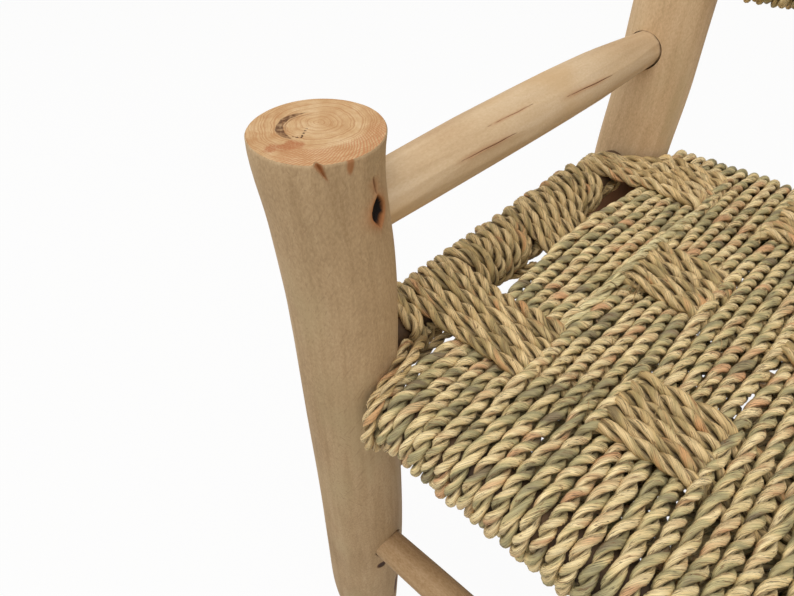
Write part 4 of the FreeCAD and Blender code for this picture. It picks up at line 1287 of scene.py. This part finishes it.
def posts():
    strokes = (70, 0.25 * MM, 120 * MM)
    for number, place in enumerate(POSTS):
        end, hand = place.split("_")
        node = f"post_{end}_{hand}"
        side = -1 if hand == "left" else 1
        inward = -1 if end == "front" else 1
        material = POST_WOOD if end == "front" else REAR_WOOD
        looks = {}
        if place == "front_left":
            top = span(node, Z)[1]
            split_ends = (609 * MM, 13.5 * DEGREE), (624 * MM, 9.5 * DEGREE)
            looks["marks"] = [
                knot_mark(599 * MM, 13.5 * DEGREE, 6.2 * MM, 11.0 * MM, 4 * MM),
                split_mark(*split_ends, 1.2 * MM, 0.6 * MM),
                chipped_rim(-43.8 * DEGREE, 8.5 * DEGREE, 4.6 * MM, 12 * MM, top),
                shaved(598 * MM, -129 * DEGREE, 34 * MM, 2.7 * MM),
                stain_and_shade_patch(top - 1 * MM, -14.5 * DEGREE, 8 * MM, 3.6 * DEGREE, darkened=0.12),
                # Painted shade: the two lower patches darken the post where it lies in shade below the seat
                stain_and_shade_patch(178 * MM, -19 * DEGREE, 7.5 * MM, 7.5 * DEGREE, darkened=0.85),
                stain_and_shade_patch(84 * MM, 22 * DEGREE, 26 * MM, 7 * DEGREE, darkened=0.7),
            ]
            looks["fine_along"] = [(607 * MM, 19 * MM, FINE), (top, 11 * MM, FINE), (178 * MM, 8 * MM, FINE)]
            around = ((13, 0.22), (-34, 0.26), (-14, 0.22))
            looks["fine_around"] = [(turn * DEGREE, wide, 0.018) for turn, wide in around]
        if place == "rear_left":
            # Painted shade on the post's front side below the seat, where it shows through the gaps in the
            # seat
            looks["marks"] = [stain_and_shade_patch(402 * MM, -86 * DEGREE, 50 * MM, 62 * DEGREE, darkened=0.62)]
            looks["sway"] = [(440 * MM, 540 * MM, 3.9 * MM), (560 * MM, 760 * MM, 2.0 * MM)]
        sticks = ((f"arm_{hand}", Y, inward), (f"stretcher_{hand}", Y, inward), (f"stretcher_{end}", X, side))
        looks["bores"] = [joint(*stick) for stick in sticks]
        peeled_pole(node, Z, "post_wood", (material, END_GRAIN), number, strokes, lumps=0.35 * MM, **looks)


def stretcher(word, axis, number, strokes):
    """One stretcher with this many knife strokes."""
    woods = (STICK_WOOD, STICK_WOOD)
    strokes = (strokes, 0.4 * MM, 90 * MM)
    peeled_pole(f"stretcher_{word}", axis, "stretcher_wood", woods, number, strokes, sides=56)


def sticks():
    """Armrests and stretchers, whittled with longer and deeper strokes than the posts."""
    for number, hand in enumerate(("left", "right")):
        looks = {}
        if hand == "left":
            looks["marks"] = []
            for *ends, wide in ARM_CRACKS:
                first, last = ((FRONT_Y + place * MM, turn * DEGREE) for place, turn in ends)
                looks["marks"].append(split_mark(first, last, wide * MM, wide * MM, waver=0.008))
            looks["fine_along"] = [(FRONT_Y + 200 * MM, 125 * MM, 1.6 * MM)]
            looks["fine_around"] = [(turn * DEGREE, 0.11, 0.016) for turn in (19, 26, 51)]
        strokes = (38, 1.0 * MM, 100 * MM)
        woods = (ARM_WOOD, ARM_WOOD)
        peeled_pole(f"arm_{hand}", Y, "arm_wood", woods, 10 + number, strokes, lumps=0.35 * MM, **looks)
        stretcher(hand, Y, 14 + number, 60)
    for number, end in enumerate(("front", "rear")):
        stretcher(end, X, 18 + number, 70)


def rail_wood(name, dark, middle_tone, pale):
    """Rough round wood, matt, with its bark or only the bark's inner skin left on."""
    material, tree = new_material(name)
    place = add(tree, "ShaderNodeTexCoord").node.outputs["Object"]
    streaks = grain(tree, place, (60.0, 60.0, 60.0), Detail=4.0, Roughness=0.6)
    colour = ramp(tree, streaks, ((0.35, dark), (0.5, middle_tone), (0.65, pale)))
    surface(tree, colour, 0.75, streaks, strength=0.4, distance=0.6 * MM)
    return material


def rails():
    """The rails keep their solids, and show only between the rope and the posts."""
    # Painted shade: the seat rails' bark is darkened further, since they show only in the shaded gaps of the
    # seat
    darkened = rail_wood("barked_rail_wood_painted_shade", "3f2e1e", "56402a", "6f5438")
    inner_skin = rail_wood("back_rail_wood", "76583a", "8f6f4b", "a6845c")
    woods = {f"seat_rail_{word}": darkened for word in ("front", "rear", "left", "right")}
    woods.update({f"back_rail_{word}": inner_skin for word in ("lower", "upper")})
    for node, wood in woods.items():
        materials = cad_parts[node].data.materials
        materials.clear()
        materials.append(wood)


posts()
sticks()
rails()


# The stage: a pale floor and backdrop, soft studio light, and the camera of the photograph

SEAT_MIDDLE = (0, 0, 0.45)


def seen_directly(tree):
    """One on what the camera sees, also in a mirror or through glass, and zero on what lights the chair."""
    view = add(tree, "ShaderNodeLightPath").node.outputs
    seen = add(tree, "ShaderNodeMath", view["Is Camera Ray"], view["Is Glossy Ray"], operation="MAXIMUM")
    return add(tree, "ShaderNodeMath", seen, view["Is Transmission Ray"], operation="MAXIMUM")


def stage_floor():
    side = 6.0
    mesh = bpy.data.meshes.new("floor")
    corners = [(-side, -side, 0), (side, -side, 0), (side, side, 0), (-side, side, 0)]
    mesh.from_pydata(corners, [], [(0, 1, 2, 3)])
    floor = placed("floor", mesh)
    material, tree = new_material("white_floor")
    plain = add(tree, "ShaderNodeBsdfDiffuse", Color="d2cec7")
    white = add(tree, "ShaderNodeEmission", Color="ffffff", Strength=1.0)
    # The camera sees nearly the plain white of the photograph, with the chair's shadow faint in it
    factor = weighted(tree, (seen_directly(tree), 0.95))
    end_material(tree, add(tree, "ShaderNodeMixShader", factor, plain, white))
    mesh.materials.append(material)


def studio_world():
    world = bpy.data.worlds.new("studio")
    bpy.context.scene.world = world
    world.use_nodes = True
    tree = world.node_tree
    tree.nodes.clear()
    light = add(tree, "ShaderNodeBackground", Color="f6f4f2", Strength=0.6)
    white = add(tree, "ShaderNodeBackground", Color="ffffff", Strength=1.0)
    mixed = add(tree, "ShaderNodeMixShader", seen_directly(tree), light, white)
    tree.links.new(mixed, tree.nodes.new("ShaderNodeOutputWorld").inputs[0])


def softbox(name, place, size, power):
    lamp = bpy.data.lights.new(name, "AREA")
    lamp.shape = "SQUARE"
    lamp.size = size
    lamp.energy = power
    holder = placed(name, lamp)
    holder.location = place
    holder.rotation_euler = (Vector(SEAT_MIDDLE) - Vector(place)).to_track_quat("-Z", "Y").to_euler()


def photo_camera():
    """The photograph's camera, solved from the post and the seat, in relation to the front left post."""
    offset = Vector((254.6, -203.7, 347.3)) * MM
    pitch, azimuth, roll = (value * DEGREE for value in (42.48, 44.37, 0.86))
    focal_pixels = 632.3
    photo_width = 794
    level = Vector((math.cos(azimuth), math.sin(azimuth), 0))
    forward = (-math.sin(azimuth) * math.cos(pitch), math.cos(azimuth) * math.cos(pitch), -math.sin(pitch))
    forward = Vector(forward)
    down = forward.cross(level)
    right = level * math.cos(roll) + down * math.sin(roll)
    down = down * math.cos(roll) - level * math.sin(roll)
    camera = placed("camera", bpy.data.cameras.new("camera"))
    rotation = Matrix((right, -down, -forward)).transposed().to_4x4()
    place = Vector((-SIDE_X, FRONT_Y, SEAT_TOP_Z)) + offset
    camera.matrix_world = Matrix.Translation(place) @ rotation
    camera.data.sensor_fit = "HORIZONTAL"
    camera.data.sensor_width = 36
    camera.data.lens = camera.data.sensor_width * focal_pixels / photo_width
    camera.data.clip_start = 0.01
    bpy.context.scene.camera = camera


stage_floor()
studio_world()
softbox("key", (0.2, -1.2, 2.8), 1.8, 38)
softbox("fill_right", (1.9, 0.4, 1.9), 1.6, 10)
softbox("fill_left", (-1.9, -0.9, 1.5), 1.6, 9)
photo_camera()
bpy.context.scene.view_settings.view_transform = "Standard"
